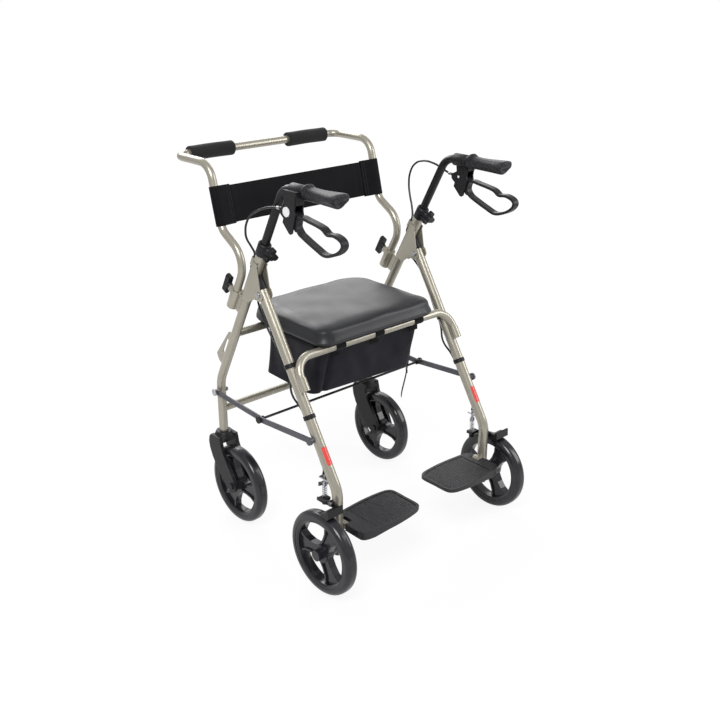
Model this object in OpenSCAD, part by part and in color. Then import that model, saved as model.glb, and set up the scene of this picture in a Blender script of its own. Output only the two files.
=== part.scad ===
// Folding rollator that doubles as a transport chair.
// Two leaning side frames carry swivel casters at the back and braked
// wheels at the front. -Y is the footrest side, +Y the push bar side,
// X = 0 the plane of symmetry, and the floor is Z = 0.

/* [Side frames] */
// Half the distance between the side frames, at the tube axes
frame_x = 243; // [225:1:270]
// Caster stem axis behind the middle of the chair
rear_leg_y = 191.5; // [175:0.5:210]
// Lean of the upper frame tube from upright, in degrees
rear_lean = 27.8; // [25:0.1:30]
// Height of the bend in the rear leg
rear_bend_z = 364.7; // [350:0.1:380]
// Radius of the bend in the rear leg
rear_bend_r = 80; // [50:1:110]
// Rear leg tube diameter
main_d = 22; // [20:0.5:23]
// Upper frame tube diameter, above the joint line
upper_d = 25; // [24:0.5:28]
// Joint line of the upper tube, above the bend
joint_t = 272; // [268:1:275]
// Top of the upper tube, above the bend
upper_t = 415; // [405:1:430]
// Diameter of the cross tubes
cross_d = 19; // [16:0.5:21]
// Height of the lower cross tube
low_cross_z = 287; // [270:1:300]

/* [Fold hinge] */
// Hinge pivot along the upper tube, above the bend
hinge_t = 324.5; // [315:0.5:335]
// Hinge pivot in front of the upper tube axis
hinge_n = 42.2; // [41:0.1:46]
// Hinge bolt diameter
hinge_bolt_d = 8; // [6:0.5:10]
// Hinge plate thickness
plate_t = 2; // [1.5:0.1:2.5]

/* [Front legs] */
// Front leg tube diameter
leg_d = 24.4; // [22:0.1:24.4]
// Height of the bend in the front leg
front_bend_z = 237.2; // [230:0.1:244]
// Braked wheel axle in front of the middle of the chair
front_leg_y = -242; // [-255:1:-230]
// Radius of the bend in the front leg
front_bend_r = 60; // [40:1:80]
// Lower end of the front leg
leg_end_z = 80; // [76:1:84]

/* [Seat] */
// Top bar of the seat arch below the hinge, along the leg
bar_s = 161; // [150:1:170]
// Bend radius of the seat arch
bar_bend_r = 42; // [30:1:43]
// Seat pad width
seat_w = 366; // [320:1:380]
// Seat pad length
seat_l = 296; // [270:1:300]
// Front edge of the seat pad
seat_front_y = -128; // [-132:1:-115]
// Seat pad thickness at the crown
seat_h = 36.5; // [30:0.5:45]
// Seat board thickness
board_t = 5; // [4:0.5:8]
// Front corner radius of the seat pad
seat_r = 36; // [25:1:60]
// Rear corner radius of the seat pad
seat_rear_r = 72; // [40:1:80]

/* [Bag] */
// Bag width
bag_w = 330; // [280:1:340]
// Depth of the bag
bag_h = 138; // [120:1:146]
// Room between the seat board and the bag's rim
bag_room = 7; // [6:0.5:12]
// Thickness of the bag's walls
bag_wall = 4; // [3:0.5:6]
// Webbing thickness
web_t = 1.6; // [1.2:0.1:2]

/* [Handles] */
// Handle tube diameter
hand_d = 19; // [17:0.5:20]
// Bend of the handle tube, above the bend in the rear leg
hand_t = 585; // [560:1:600]
// Radius of that bend
hand_bend_r = 45; // [38:1:48]
// Lower end of the handle tube, above the bend in the rear leg
hand_low_t = 285; // [282:1:310]
// Length of the hand grip
grip_l = 113; // [108:1:125]
// Brake lever width
lever_w = 17; // [14:0.5:17.5]
// Brake lever bar thickness
lever_t = 6; // [5:0.5:7]

/* [Backrest] */
// Socket axis behind the upper tube axis
socket_n = 39; // [38:0.5:44]
// Outer diameter of the sockets
socket_d = 27; // [25:0.5:29]
// Backrest tube diameter
back_d = 19; // [17:0.5:20]
// Knee of the backrest tube, above the bend in the rear leg
knee_t = 353.8; // [345:0.5:365]
// Length of the swept stretch above the knee
sweep_l = 103.6; // [98:0.5:115]
// Length of the sling stretch
sling_l = 147; // [140:1:160]
// Push bar behind the sling stretch
push_l = 137.5; // [120:0.5:150]
// Diameter of the foam grips
foam_d = 36; // [30:0.5:40]
// Inner end of each foam grip
foam_x0 = 84; // [60:1:100]
// Outer end of each foam grip
foam_x1 = 208; // [180:1:210]

/* [Wheels] */
// Wheel diameter
wheel_d = 200; // [190:1:204]
// Tyre width
tyre_w = 32; // [26:0.5:33]
// Braked wheel's middle outboard of the frame
wheel_out = 41; // [39:0.5:45]
// Caster trail
trail = 60; // [56:1:64]
// Axle diameter
axle_d = 10; // [8:0.5:11]

/* [Footplates] */
// Footplate width
foot_w = 182; // [150:1:190]
// Footplate length
foot_l = 118; // [100:1:122]
// Footplate thickness
foot_t = 15; // [12:0.5:16]
// Height of the footplate's top
foot_top_z = 156; // [150:1:165]

/* [Braces] */
// Width of the brace bars
brace_w = 14; // [12:0.5:16]
// Thickness of the brace bars
brace_t = 3; // [2:0.5:4]
// Height of the rear brace pivot
brace_rear_z = 336; // [330:1:340]
// Height of the front brace pivot
brace_front_z = 343.5; // [335:0.5:350]
// Drop of the middle hinge below the line of the pivots
brace_drop = 11; // [8:0.5:14]
// Diameter of the rod between the middle hinges
rod_d = 6; // [5:0.5:7]

/* [Fits] */
// Radial running clearance of pins and shafts
run = 0.05; // [0.02:0.01:0.1]
// Radial clearance of sliding tubes
slip = 0.1; // [0.05:0.01:0.1]
// Gap between parts that pass each other
gap = 0.35; // [0.3:0.05:0.5]

/* [Hidden] */
$fn = 48;

champagne = [0.72, 0.70, 0.63];
black = [0.13, 0.13, 0.14];
grey = [0.40, 0.40, 0.43];
silver = [0.78, 0.78, 0.80];

// Fold hinge and front leg
lean_s = sin(rear_lean);
lean_c = cos(rear_lean);
hinge_y = rear_leg_y - hinge_t * lean_s - hinge_n * lean_c;
hinge_z = rear_bend_z + hinge_t * lean_c - hinge_n * lean_s;
front_lean = atan2(hinge_y - front_leg_y, hinge_z - front_bend_z);
leg_s = sin(front_lean);
leg_c = cos(front_lean);
leg_apex = (hinge_y - front_leg_y) / leg_s;
leg_apex_z = hinge_z - leg_apex * leg_c;
leg_top = 8;
cheek_in = upper_d / 2 + 0.05;

// Wheels
wheel_r = wheel_d / 2;
wheel_x = frame_x + wheel_out;
caster_y = rear_leg_y - trail;
fork_top_z = 227;
stem_d = 12;
fork_gap = 0.5;
stem_l = 65;

// Seat arch, cross tube and seat
weld = 0.6;
sleeve_wall = 1.5;
sleeve_d = cross_d + 2 * sleeve_wall;
bar_n = leg_d / 2 + sleeve_d / 2 - weld;
bar_y = hinge_y - bar_s * leg_s - bar_n * leg_c;
bar_z = hinge_z - bar_s * leg_c + bar_n * leg_s;
sleeve_top = bar_s + bar_bend_r + 2;
sleeve_l = 30;
seat_gap = web_t + 0.6;
board_z = bar_z + cross_d / 2 + seat_gap;
seat_z = board_z + board_t + 0.05;
cross_z = bar_z;
bag_top_z = board_z - bag_room;
bag_low_z = bag_top_z - bag_h;
cross_y = rear_leg_y - (cross_z - rear_bend_z) / lean_c * lean_s;

// Handle
hand_y = rear_leg_y - hand_t * lean_s;
hand_z = rear_bend_z + hand_t * lean_c;
clamp_y0 = 29;
clamp_y1 = 70;
clamp_d = 29;
house_x0 = 0.5;
house_x1 = 25;
house_wall = 2.8;
pivot_y = -39.3;
pivot_z = -40;
pivot_d = 6;
cable_x = 15;

// Backrest
knee_y = rear_leg_y - knee_t * lean_s + socket_n * lean_c;
knee_z = rear_bend_z + knee_t * lean_c + socket_n * lean_s;
sweep_a = 30.6;
sling_a = 14.3;
heel_y = knee_y + sweep_l * cos(sweep_a);
heel_z = knee_z + sweep_l * sin(sweep_a);
neck_y = heel_y + sling_l * sin(sling_a);
neck_z = heel_z + sling_l * cos(sling_a);
push_y = neck_y + push_l;
socket_t0 = 215;
socket_t1 = 265;
socket_screw_t = 254;

// Braces
brace_front_y = front_leg_y + (brace_front_z - leg_apex_z) * leg_s / leg_c;
brace_mid_y = (rear_leg_y + brace_front_y) / 2 + 1;
brace_mid_z = (brace_rear_z + brace_front_z) / 2 - brace_drop;
brace_x0 = frame_x + max(main_d, leg_d) / 2 + 2;
brace_x1 = brace_x0 + brace_t + gap;
brace_bolt_d = 6;

// Footplate hinge
foot_axis_x = frame_x - 21;
foot_axis_z = foot_top_z - 7;
foot_pin_d = 6;
foot_barrel_d = 12;
foot_barrel_l = 24.6;

// Brake gear at the wheel
brake_x = 2;
adjust_y = front_leg_y + 40.5;
adjust_z = 241;
shoe_pivot_y = front_leg_y + 3.5;
shoe_pivot_z = wheel_d + 12;
shoe_gap = 3;
shoe_x0 = leg_d / 2 + gap;

// Brake cable jackets of the handle and of the leg
cable_d = 5;
leg_cable_d = 5;
// Cable eye: behind the upper tube's axis, its lower end up along the tube, and its length
bracket_t1 = upper_t - 32;
eye_n = cheek_in + plate_t + cable_d / 2 + 1.7;
eye_t = bracket_t1 - 22;
eye_l = 20;
// Point beside the upper tube as seen from the front leg, and from the bend of the handle
function on_leg(p) = let (y = rear_leg_y - p[2] * lean_s + p[1] * lean_c - hinge_y,
    z = rear_bend_z + p[2] * lean_c + p[1] * lean_s - hinge_z) [p[0], y * leg_c - z * leg_s, y * leg_s + z * leg_c];
function on_hand(p) = [p[0], rear_leg_y - p[2] * lean_s + p[1] * lean_c - hand_y,
    rear_bend_z + p[2] * lean_c + p[1] * lean_s - hand_z];
// Cable route on the handle: across, along and up from the handle's bend
upper_low = [on_hand([0.8, eye_n + 1.6, eye_t + eye_l + 9]), on_hand([0, eye_n, eye_t + eye_l - 2]),
    on_hand([0, eye_n, eye_t + 4])];
upper_left = concat([[15, -3, -40], [15.5, 14, -41.5], [17, 40, -47], [18.5, 66, -57], [19.8, 90, -71], [20, 106, -89],
    [19, 114, -110], [14.5, 117, -129], [7, 113, -146]], upper_low);
upper_right = concat([[15, -3, -40], [15.3, 12, -37], [16, 30, -31], [17.5, 60, -24], [19, 94, -24], [20.5, 124, -36],
    [21, 140, -60], [18.5, 141, -88], [13, 131, -114], [6.5, 117, -138]], upper_low);
// Places of the cable bands along the leg, below the hinge
clip_at = [-0.366 * leg_apex, -0.624 * leg_apex];
clip_n = leg_d / 2 + 2.9;
// Top of the cable adjuster behind the leg, and up along it
adjust_l = 25;
adjust_at = let (y = adjust_y - hinge_y, z = adjust_z + adjust_l + 0.05 - hinge_z) [y * leg_c - z * leg_s, y * leg_s + z * leg_c];
// Cable route on the front leg from the eye: across, behind and up, along the leg
leg_route = [on_leg([0, eye_n, eye_t + 0.5]), on_leg([0, eye_n + 0.4, eye_t - 9]), on_leg([-7, eye_n + 1.1, eye_t - 23]),
    on_leg([-15, eye_n - 3.4, eye_t - 39]), on_leg([-18.2, 3, eye_t - 55]), on_leg([-18.2, -8, eye_t - 75]),
    [-17.5, 56.5, -7.5], [-9, 46, -32], [-1, 34, -62], [2, 24.5, -100], [0, clip_n + 1, clip_at[0] + 18], [0, clip_n, clip_at[0]],
    [0, clip_n + 2, clip_at[0] - 22], [0, clip_n + 7, (clip_at[0] + clip_at[1]) / 2], [0, clip_n + 2, clip_at[1] + 22],
    [0, clip_n, clip_at[1]], [0.6, clip_n + 0.1, adjust_at[1] + 88], [1.2, clip_n + 0.1, adjust_at[1] + 46.4],
    [2, clip_n + 0.1, adjust_at[1] + 26.4], [2.5, adjust_at[0] - 4, adjust_at[1] + 10.4],
    [2, adjust_at[0], adjust_at[1]]];

function unit(v) = v / norm(v);

// Points on a smooth curve through p, with m steps a span
function spline(p, m) = let (n = len(p)) concat(
    [for (i = [0 : n - 2], k = [0 : m - 1]) let (
        a = p[max(i - 1, 0)], b = p[i], c = p[i + 1], d = p[min(i + 2, n - 1)], t = k / m)
        0.5 * (2 * b + (c - a) * t + (2 * a - 5 * b + 4 * c - d) * t * t
            + (3 * b - a - 3 * c + d) * t * t * t)],
    [p[n - 1]]);

// The same for a closed loop
function loop_spline(p, m) = let (n = len(p))
    [for (i = [0 : n - 1], k = [0 : m - 1]) let (
        a = p[(i + n - 1) % n], b = p[i], c = p[(i + 1) % n], d = p[(i + 2) % n], t = k / m)
        0.5 * (2 * b + (c - a) * t + (2 * a - 5 * b + 4 * c - d) * t * t
            + (3 * b - a - 3 * c + d) * t * t * t)];

// Outline of a closed loop moved sideways by d
function loop_offset(p, d) = let (n = len(p))
    [for (i = [0 : n - 1]) let (t = unit(p[(i + 1) % n] - p[(i + n - 1) % n]))
        p[i] + d * [-t[1], t[0]]];

// Rectangle with rounded front and rear corners, k points a corner, counter-clockwise
function rounded(hx, hy, front, rear, k) = [for (q = [0 : 3], i = [0 : k - 1]) let (r = (q < 2) ? rear : front,
    sx = (q == 0 || q == 3) ? 1 : -1, sy = (q < 2) ? 1 : -1, a = 90 * q + 90 * i / (k - 1))
    [sx * (hx - r) + r * cos(a), sy * (hy - r) + r * sin(a)]];

// Closed solid through rings of the same number of points
module loft(rings) {
    k = len(rings);
    n = len(rings[0]);
    flat = [for (r = rings) each r];
    low = [for (i = [0 : n - 1]) 1] * rings[0] / n;
    high = [for (i = [0 : n - 1]) 1] * rings[k - 1] / n;
    faces = concat(
        [for (j = [0 : k - 2], i = [0 : n - 1]) [j * n + i, (j + 1) * n + (i + 1) % n, j * n + (i + 1) % n]],
        [for (j = [0 : k - 2], i = [0 : n - 1]) [j * n + i, (j + 1) * n + i, (j + 1) * n + (i + 1) % n]],
        [for (i = [0 : n - 1]) [k * n, i, (i + 1) % n]],
        [for (i = [0 : n - 1]) [k * n + 1, (k - 1) * n + (i + 1) % n, (k - 1) * n + i]]);
    polyhedron(concat(flat, [low, high]), faces, convexity = 6);
}

// Round cord of diameter d along points that keep off the X direction
module cord(p, d, sides) {
    n = len(p);
    loft([for (i = [0 : n - 1]) let (
        t = unit(p[min(i + 1, n - 1)] - p[max(i - 1, 0)]),
        s = unit(cross(t, [1, 0, 0])), q = cross(t, s))
        [for (j = [0 : sides - 1]) p[i] + d / 2 * (cos(360 * j / sides) * s + sin(360 * j / sides) * q)]]);
}

// Round bar between two points
module bar(a, b, d) {
    v = b - a;
    translate(a) rotate([0, acos(v[2] / norm(v)), atan2(v[1], v[0])]) cylinder(d = d, h = norm(v));
}

// Elbow of a tube of diameter d that turns from direction u to v at corner p
module elbow(p, u, v, r, d) {
    turn = acos(u * v);
    m = unit(v - u * (u * v));
    w = cross(u, m);
    c = p - u * r * tan(turn / 2) + m * r;
    multmatrix([[-m[0], u[0], w[0], c[0]], [-m[1], u[1], w[1], c[1]], [-m[2], u[2], w[2], c[2]], [0, 0, 0, 1]])
        rotate_extrude(angle = turn) translate([r, 0]) circle(d = d);
}

// Tube along corners p, with bend radius r[i] at each inner corner.
// The straight stretches lap into the elbows, which are a hair slimmer.
lap = 0.5;
slim = 0.1;
module bent_tube(p, r, d) {
    n = len(p);
    dir = [for (i = [0 : n - 2]) unit(p[i + 1] - p[i])];
    back = concat([0], [for (i = [1 : n - 2]) r[i - 1] * tan(acos(dir[i - 1] * dir[i]) / 2)], [0]);
    union() {
        for (i = [0 : n - 2]) bar(p[i] + dir[i] * (back[i] - (i > 0 ? lap : 0)),
            p[i + 1] - dir[i] * (back[i + 1] - (i < n - 2 ? lap : 0)), d);
        for (i = [1 : n - 2]) elbow(p[i], dir[i - 1], dir[i], r[i - 1], d - slim);
    }
}

// Right-hand part, or its mirror image on the left
module side(s) {
    if (s > 0) children();
    else mirror([1, 0, 0]) children();
}

// Frame along the upper tube: Z up the tube, Y behind it
module lean_frame() {
    translate([frame_x, rear_leg_y, rear_bend_z]) rotate([rear_lean, 0, 0]) children();
}

// Frame along the front leg: Z up the leg from the hinge, Y behind it
module leg_frame() {
    translate([frame_x, hinge_y, hinge_z]) rotate([-front_lean, 0, 0]) children();
}

// Frame of the hand grip: -Y to its end
module hand_frame() {
    translate([frame_x, hand_y, hand_z]) children();
}

// Cylinder along X from x0 to x1
module xcyl(d, x0, x1) {
    translate([x0, 0, 0]) rotate([0, 90, 0]) cylinder(d = d, h = x1 - x0);
}

// Cylinder along Y from y0 to y1
module ycyl(d, y0, y1) {
    translate([0, y0, 0]) rotate([-90, 0, 0]) cylinder(d = d, h = y1 - y0);
}

// Outline in Y and Z, given thickness along X from x0 to x1
module yz_plate(x0, x1) {
    translate([x0, 0, 0]) rotate([90, 0, 90]) linear_extrude(x1 - x0) children();
}

// Outer form of the rear leg, for coping what is welded to it
module main_form(d) {
    bent_tube([[frame_x, rear_leg_y, fork_top_z + fork_gap], [frame_x, rear_leg_y, rear_bend_z],
        [frame_x, rear_leg_y - joint_t * lean_s, rear_bend_z + joint_t * lean_c]], [rear_bend_r], d);
}

// Slotted tab welded behind the rear leg
lug_slot_n = 18.5;
lug_slot_w = 8;
module lug() {
    difference() {
        yz_plate(-1.5, 1.5) difference() {
            polygon([[6, 44], [23, 46], [34.5, 52], [39.5, 58], [23.5, 143], [20, 147], [6, 150]]);
            translate([lug_slot_n, 84]) circle(d = lug_slot_w);
            translate([lug_slot_n, 121]) circle(d = lug_slot_w);
            translate([lug_slot_n - lug_slot_w / 2, 84]) square([lug_slot_w, 37]);
        }
        cylinder(d = main_d, h = 200);
    }
}

module frame_lugs() {
    color(champagne) for (s = [-1, 1]) side(s) lean_frame() lug();
}

module main_tube(s) {
    color(champagne) side(s) difference() {
        union() {
            main_form(main_d);
            lean_frame() translate([0, 0, joint_t]) cylinder(d = upper_d, h = upper_t - joint_t);
        }
        // Bearing of the caster stem
        translate([frame_x, rear_leg_y, fork_top_z]) cylinder(d = stem_d + 2 * run, h = stem_l + 4);
        // Bore that the handle tube slides in
        lean_frame() translate([0, 0, 190]) cylinder(d = hand_d + 2 * slip, h = upper_t);
        // Rear brace bolt
        translate([0, rear_leg_y, brace_rear_z]) xcyl(brace_bolt_d + 2 * run, frame_x - main_d, frame_x + main_d);
    }
}

module cross_tube(y, z) {
    color(champagne) difference() {
        translate([0, y, z]) xcyl(cross_d, -frame_x, frame_x);
        for (s = [-1, 1]) side(s) main_form(main_d);
        translate([0, y, z]) xcyl(cross_d - 3, -frame_x + main_d, frame_x - main_d);
    }
}

// Sheet bracket that wraps the upper tube and holds the front leg in its cheeks
module hinge_bracket() {
    t0 = joint_t + 4;
    t1 = bracket_t1;
    r0 = cheek_in;
    r1 = cheek_in + plate_t;
    difference() {
        union() {
            translate([0, 0, t0]) linear_extrude(t1 - t0) difference() {
                union() {
                    circle(r = r1);
                    translate([-r1, -r0]) square([2 * r1, r0]);
                }
                circle(r = r0);
                translate([-r0, -2 * r0]) square([2 * r0, 2 * r0]);
            }
            for (x = [-r1, r0]) yz_plate(x, x + plate_t) {
                polygon([[1, t0], [1, t1], [-9, t1 + 2], [-13, t1 - 8], [-hinge_n + 1, hinge_t + 14.5],
                    [-hinge_n - 12, hinge_t + 2], [-hinge_n + 4, hinge_t - 14.5], [-14, t0]]);
                translate([-hinge_n, hinge_t]) circle(r = 15);
            }
        }
        translate([0, -hinge_n, hinge_t]) xcyl(hinge_bolt_d + 2 * run, -30, 30);
    }
    // Cable eye behind the tube, open along it
    translate([0, eye_n, eye_t]) difference() {
        cylinder(d = cable_d + 5.6, h = eye_l);
        translate([0, 0, -1]) cylinder(d = cable_d + 1.6, h = eye_l + 2);
    }
}

module hinge_brackets() {
    color(champagne) for (s = [-1, 1]) side(s) lean_frame() hinge_bracket();
}

// Socket for the backrest tube, with its gusset and the boss of the clamp screw
module back_socket() {
    difference() {
        union() {
            translate([0, socket_n, socket_t0]) cylinder(d = socket_d, h = socket_t1 - socket_t0);
            yz_plate(-2, 2) polygon([[0, socket_t0 + 2], [socket_n, socket_t0 + 2],
                [socket_n, socket_t1 - 2], [0, socket_t1 - 2]]);
            translate([0, 0, socket_screw_t]) ycyl(18, socket_n, socket_n + socket_d / 2 + 7);
        }
        translate([0, socket_n, socket_t0 - 1]) cylinder(d = back_d + 2 * slip, h = socket_t1 - socket_t0 + 2);
        translate([0, 0, socket_t0 - 1]) cylinder(d = main_d, h = socket_t1 - socket_t0 + 2);
        translate([0, 0, socket_screw_t]) ycyl(8 + 2 * run, socket_n, socket_n + socket_d);
    }
}

module back_sockets() {
    color(champagne) for (s = [-1, 1]) side(s) lean_frame() back_socket();
}

// Clamp collar on top of the upper tube
collar_d = 30;
collar_t0 = upper_t - 10;
collar_l = 28;
star_t = upper_t + 9;
star_n = -20.5;
module height_collars() {
    color(black) for (s = [-1, 1]) side(s) lean_frame() difference() {
        union() {
            translate([0, 0, collar_t0]) cylinder(d = collar_d, h = collar_l);
            translate([0, 0, star_t]) ycyl(17, star_n, 0);
            translate([0, 0, collar_t0 + collar_l]) cylinder(d1 = collar_d, d2 = collar_d - 5, h = 3);
        }
        translate([0, 0, collar_t0 - 1]) cylinder(d = upper_d, h = 11);
        cylinder(d = hand_d + 2 * slip, h = upper_t + 60);
        translate([0, 0, star_t]) ycyl(8 + 2 * run, star_n - 1, 0);
    }
}

// Hinge bolts, rear brace bolts and the bolts behind the collars
module frame_bolts() {
    color(silver) for (s = [-1, 1]) side(s) {
        translate([frame_x, hinge_y, hinge_z]) {
            xcyl(hinge_bolt_d, -cheek_in - plate_t - 4, cheek_in + plate_t + 4);
            xcyl(13, cheek_in + plate_t, cheek_in + plate_t + 3.5);
            xcyl(12, -cheek_in - plate_t - 4, -cheek_in - plate_t);
        }
        translate([0, rear_leg_y, brace_rear_z]) {
            xcyl(brace_bolt_d, frame_x - main_d / 2 - 5, brace_x1 + 4);
            difference() {
                xcyl(13, frame_x, brace_x0 - gap);
                translate([frame_x, 0, -20]) cylinder(d = main_d, h = 40);
            }
            xcyl(18, brace_x1, brace_x1 + 5);
            xcyl(12, frame_x - main_d / 2 - 5, frame_x - main_d / 2);
        }
        lean_frame() translate([0, 0, collar_t0 - 8]) ycyl(9, upper_d / 2, upper_d / 2 + 5);
    }
}

// Front leg with its welded seat arch sleeve and footplate hanger
module leg_form(d) {
    bent_tube([[frame_x, hinge_y + leg_top * leg_s, hinge_z + leg_top * leg_c],
        [frame_x, front_leg_y, leg_apex_z], [frame_x, front_leg_y, leg_end_z]], [front_bend_r], d);
}

module front_leg(s) {
    color(champagne) side(s) difference() {
        union() {
            leg_form(leg_d);
            leg_frame() translate([0, -bar_n, -sleeve_top - sleeve_l]) cylinder(d = sleeve_d, h = sleeve_l);
            translate([0, front_leg_y, foot_axis_z]) {
                translate([foot_axis_x, -foot_barrel_l / 2, -7])
                    cube([frame_x - leg_d / 2 + 1 - foot_axis_x, foot_barrel_l, 14]);
                translate([foot_axis_x, 0, 0]) ycyl(foot_barrel_d, -foot_barrel_l / 2, foot_barrel_l / 2);
            }
        }
        leg_frame() translate([0, -bar_n, -sleeve_top - sleeve_l - 1])
            cylinder(d = cross_d + 2 * run, h = sleeve_l + 2);
        leg_frame() xcyl(hinge_bolt_d + 2 * run, -leg_d, leg_d);
        translate([foot_axis_x, front_leg_y, foot_axis_z]) {
            ycyl(foot_pin_d + 2 * run, -40, 40);
            // Room for the flat of the plate beside the barrel
            translate([-foot_barrel_d, -40, 6.1]) cube([foot_barrel_d, 80, 20]);
            translate([-foot_barrel_d, -40, -26.1]) cube([foot_barrel_d, 80, 20]);
        }
        translate([0, front_leg_y, wheel_r]) xcyl(axle_d + 2 * run, frame_x - leg_d, frame_x + leg_d);
        translate([0, shoe_pivot_y, shoe_pivot_z]) xcyl(6 + 2 * run, frame_x, frame_x + leg_d);
    }
}

// Plugs in the upper leg ends, cut to rest against the upper tubes
module leg_plugs() {
    color(black) for (s = [-1, 1]) side(s) {
        difference() {
            leg_frame() union() {
                translate([0, 0, leg_top]) cylinder(d = leg_d, h = 40);
                translate([0, 0, leg_top + 40]) sphere(d = leg_d);
            }
            lean_frame() translate([-40, -upper_d / 2 - gap, 0]) cube([80, 200, 600]);
        }
    }
}

module seat_bar() {
    color(champagne) {
        low = sleeve_top + sleeve_l - 2;
        bent_tube([
            [frame_x, hinge_y - low * leg_s - bar_n * leg_c, hinge_z - low * leg_c + bar_n * leg_s],
            [frame_x, bar_y, bar_z], [-frame_x, bar_y, bar_z],
            [-frame_x, hinge_y - low * leg_s - bar_n * leg_c, hinge_z - low * leg_c + bar_n * leg_s]],
            [bar_bend_r, bar_bend_r], cross_d);
    }
}

// Red reflector bands on the front of the legs
reflector_l = 42;
module reflectors() {
    color([0.91, 0.28, 0.25]) for (s = [-1, 1]) side(s) leg_frame()
        translate([0, 0, -leg_apex + front_bend_r * tan(front_lean / 2) + 44])
        rotate([0, 0, -125]) rotate_extrude(angle = 70) translate([leg_d / 2, 0]) square([0.6, reflector_l]);
}

// Bands that hold the brake cable to the leg
clip_w = 10;
module cable_clips() {
    r = leg_d / 2 + 0.05;
    color(black) for (s = [-1, 1]) side(s) leg_frame() for (z = clip_at) translate([0, 0, z - clip_w / 2])
        difference() {
            union() {
                cylinder(r = r + 1.6, h = clip_w);
                translate([0, clip_n, 0]) cylinder(d = leg_cable_d + 3.6, h = clip_w);
            }
            translate([0, 0, -1]) cylinder(r = r, h = clip_w + 2);
            translate([0, clip_n, -1]) cylinder(d = leg_cable_d + 0.2, h = clip_w + 2);
        }
}

module leg_cables() {
    color(black) for (s = [-1, 1]) side(s) leg_frame() cord(spline(leg_route, 2), leg_cable_d, 8);
}

// Cable stop, barrel, wing nut and inner wire at the foot of each cable
module brake_adjuster() {
    tab_z = adjust_z + 17;
    translate([frame_x + brake_x, adjust_y, 0]) {
        difference() {
            translate([-10, -24, tab_z]) cube([20, 32, 3]);
            translate([0, 0, tab_z - 1]) cylinder(d = 7.1, h = 5);
        }
        translate([0, 0, adjust_z]) cylinder(d = 7, h = adjust_l);
        translate([0, 0, adjust_z - 3]) cylinder(d = 12, h = 9);
        translate([0, 0, adjust_z - 26]) cylinder(d = 2, h = 27);
        for (a = [20, 200]) rotate([0, 0, a]) translate([4, -1.2, adjust_z - 2])
            rotate([90, 0, 90]) linear_extrude(11) polygon([[0, 0], [2.4, 0], [2.4, 9], [0, 9]]);
    }
}

module brake_adjusters() {
    color(silver) for (s = [-1, 1]) side(s) difference() {
        brake_adjuster();
        leg_form(leg_d);
    }
}

// Return spring round the inner wire, one unbroken tube
spring_d = 10;
spring_wire = 1.4;
spring_turns = 6;
spring_z0 = shoe_pivot_z - 3.5;
spring_z1 = adjust_z - 3.5;
spring_pts = let (rise = spring_z1 - spring_z0 - spring_wire) [for (i = [0 : 8 * spring_turns])
    [spring_d / 2 * cos(45 * i), spring_d / 2 * sin(45 * i), spring_wire / 2 + rise * i / (8 * spring_turns)]];
spring_self = min([for (i = [0 : len(spring_pts) - 1], j = [0 : len(spring_pts) - 1])
    if (j > i + 4) norm(spring_pts[i] - spring_pts[j])]) - spring_wire;
echo(spring_least_gap_mm = spring_self);

module spring() {
    n = len(spring_pts);
    loft([for (i = [0 : n - 1]) let (
        t = unit(spring_pts[min(i + 1, n - 1)] - spring_pts[max(i - 1, 0)]),
        r = [cos(45 * i), sin(45 * i), 0], s = unit(r - t * (r * t)), q = cross(t, s))
        [for (j = [0 : 5]) spring_pts[i] + spring_wire / 2 * (cos(60 * j) * s + sin(60 * j) * q)]]);
}

module brake_springs() {
    color(silver) for (s = [-1, 1]) side(s) translate([frame_x + brake_x, adjust_y, spring_z0]) spring();
}

// Wheel axles, footplate pins and brake shoe bolts
hub_x0 = leg_d / 2 + 2.5;
hub_x1 = wheel_out + 20;
module leg_bolts() {
    color(silver) for (s = [-1, 1]) side(s) {
        translate([frame_x, front_leg_y, wheel_r]) {
            xcyl(axle_d, -leg_d / 2 - 4, hub_x1 - 1);
            xcyl(17, -leg_d / 2 - 6, -leg_d / 2);
            difference() {
                xcyl(16, 0, hub_x0 - gap);
                translate([0, 0, -20]) cylinder(d = leg_d, h = 40);
            }
        }
        translate([foot_axis_x, front_leg_y, foot_axis_z]) ycyl(foot_pin_d, -foot_barrel_l / 2 - 15, foot_barrel_l / 2 + 15);
        translate([frame_x, shoe_pivot_y, shoe_pivot_z]) {
            xcyl(6, 2, shoe_x0 + 4.5);
            xcyl(11, shoe_x0 + 4 + gap, shoe_x0 + 8);
        }
    }
}

// Flat bar with round ends between two pivots, in Y and Z
module brace_outline(a, b) {
    turn = atan2(b[1] - a[1], b[0] - a[0]);
    polygon([for (e = [0, 1], k = [0 : 16]) let (w = turn + 90 + 180 * e + 11.25 * k)
        (e == 0 ? a : b) + brace_w / 2 * [cos(w), sin(w)]]);
}

module brace_rear_bars() {
    color(grey) for (s = [-1, 1]) side(s) difference() {
        yz_plate(brace_x0, brace_x0 + brace_t)
            brace_outline([rear_leg_y, brace_rear_z], [brace_mid_y, brace_mid_z]);
        translate([0, rear_leg_y, brace_rear_z]) xcyl(brace_bolt_d + 2 * run, brace_x0 - 1, brace_x1);
        translate([0, brace_mid_y, brace_mid_z]) xcyl(rod_d, brace_x0 - 1, brace_x1);
    }
}

module brace_rod() {
    color(black) translate([0, brace_mid_y, brace_mid_z]) {
        xcyl(rod_d, -brace_x1 - brace_t - 2, brace_x1 + brace_t + 2);
        for (s = [-1, 1]) side(s) {
            xcyl(18, brace_x1 + brace_t + gap, brace_x1 + brace_t + 5);
            xcyl(13, brace_x0 - 5, brace_x0);
        }
    }
}

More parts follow.
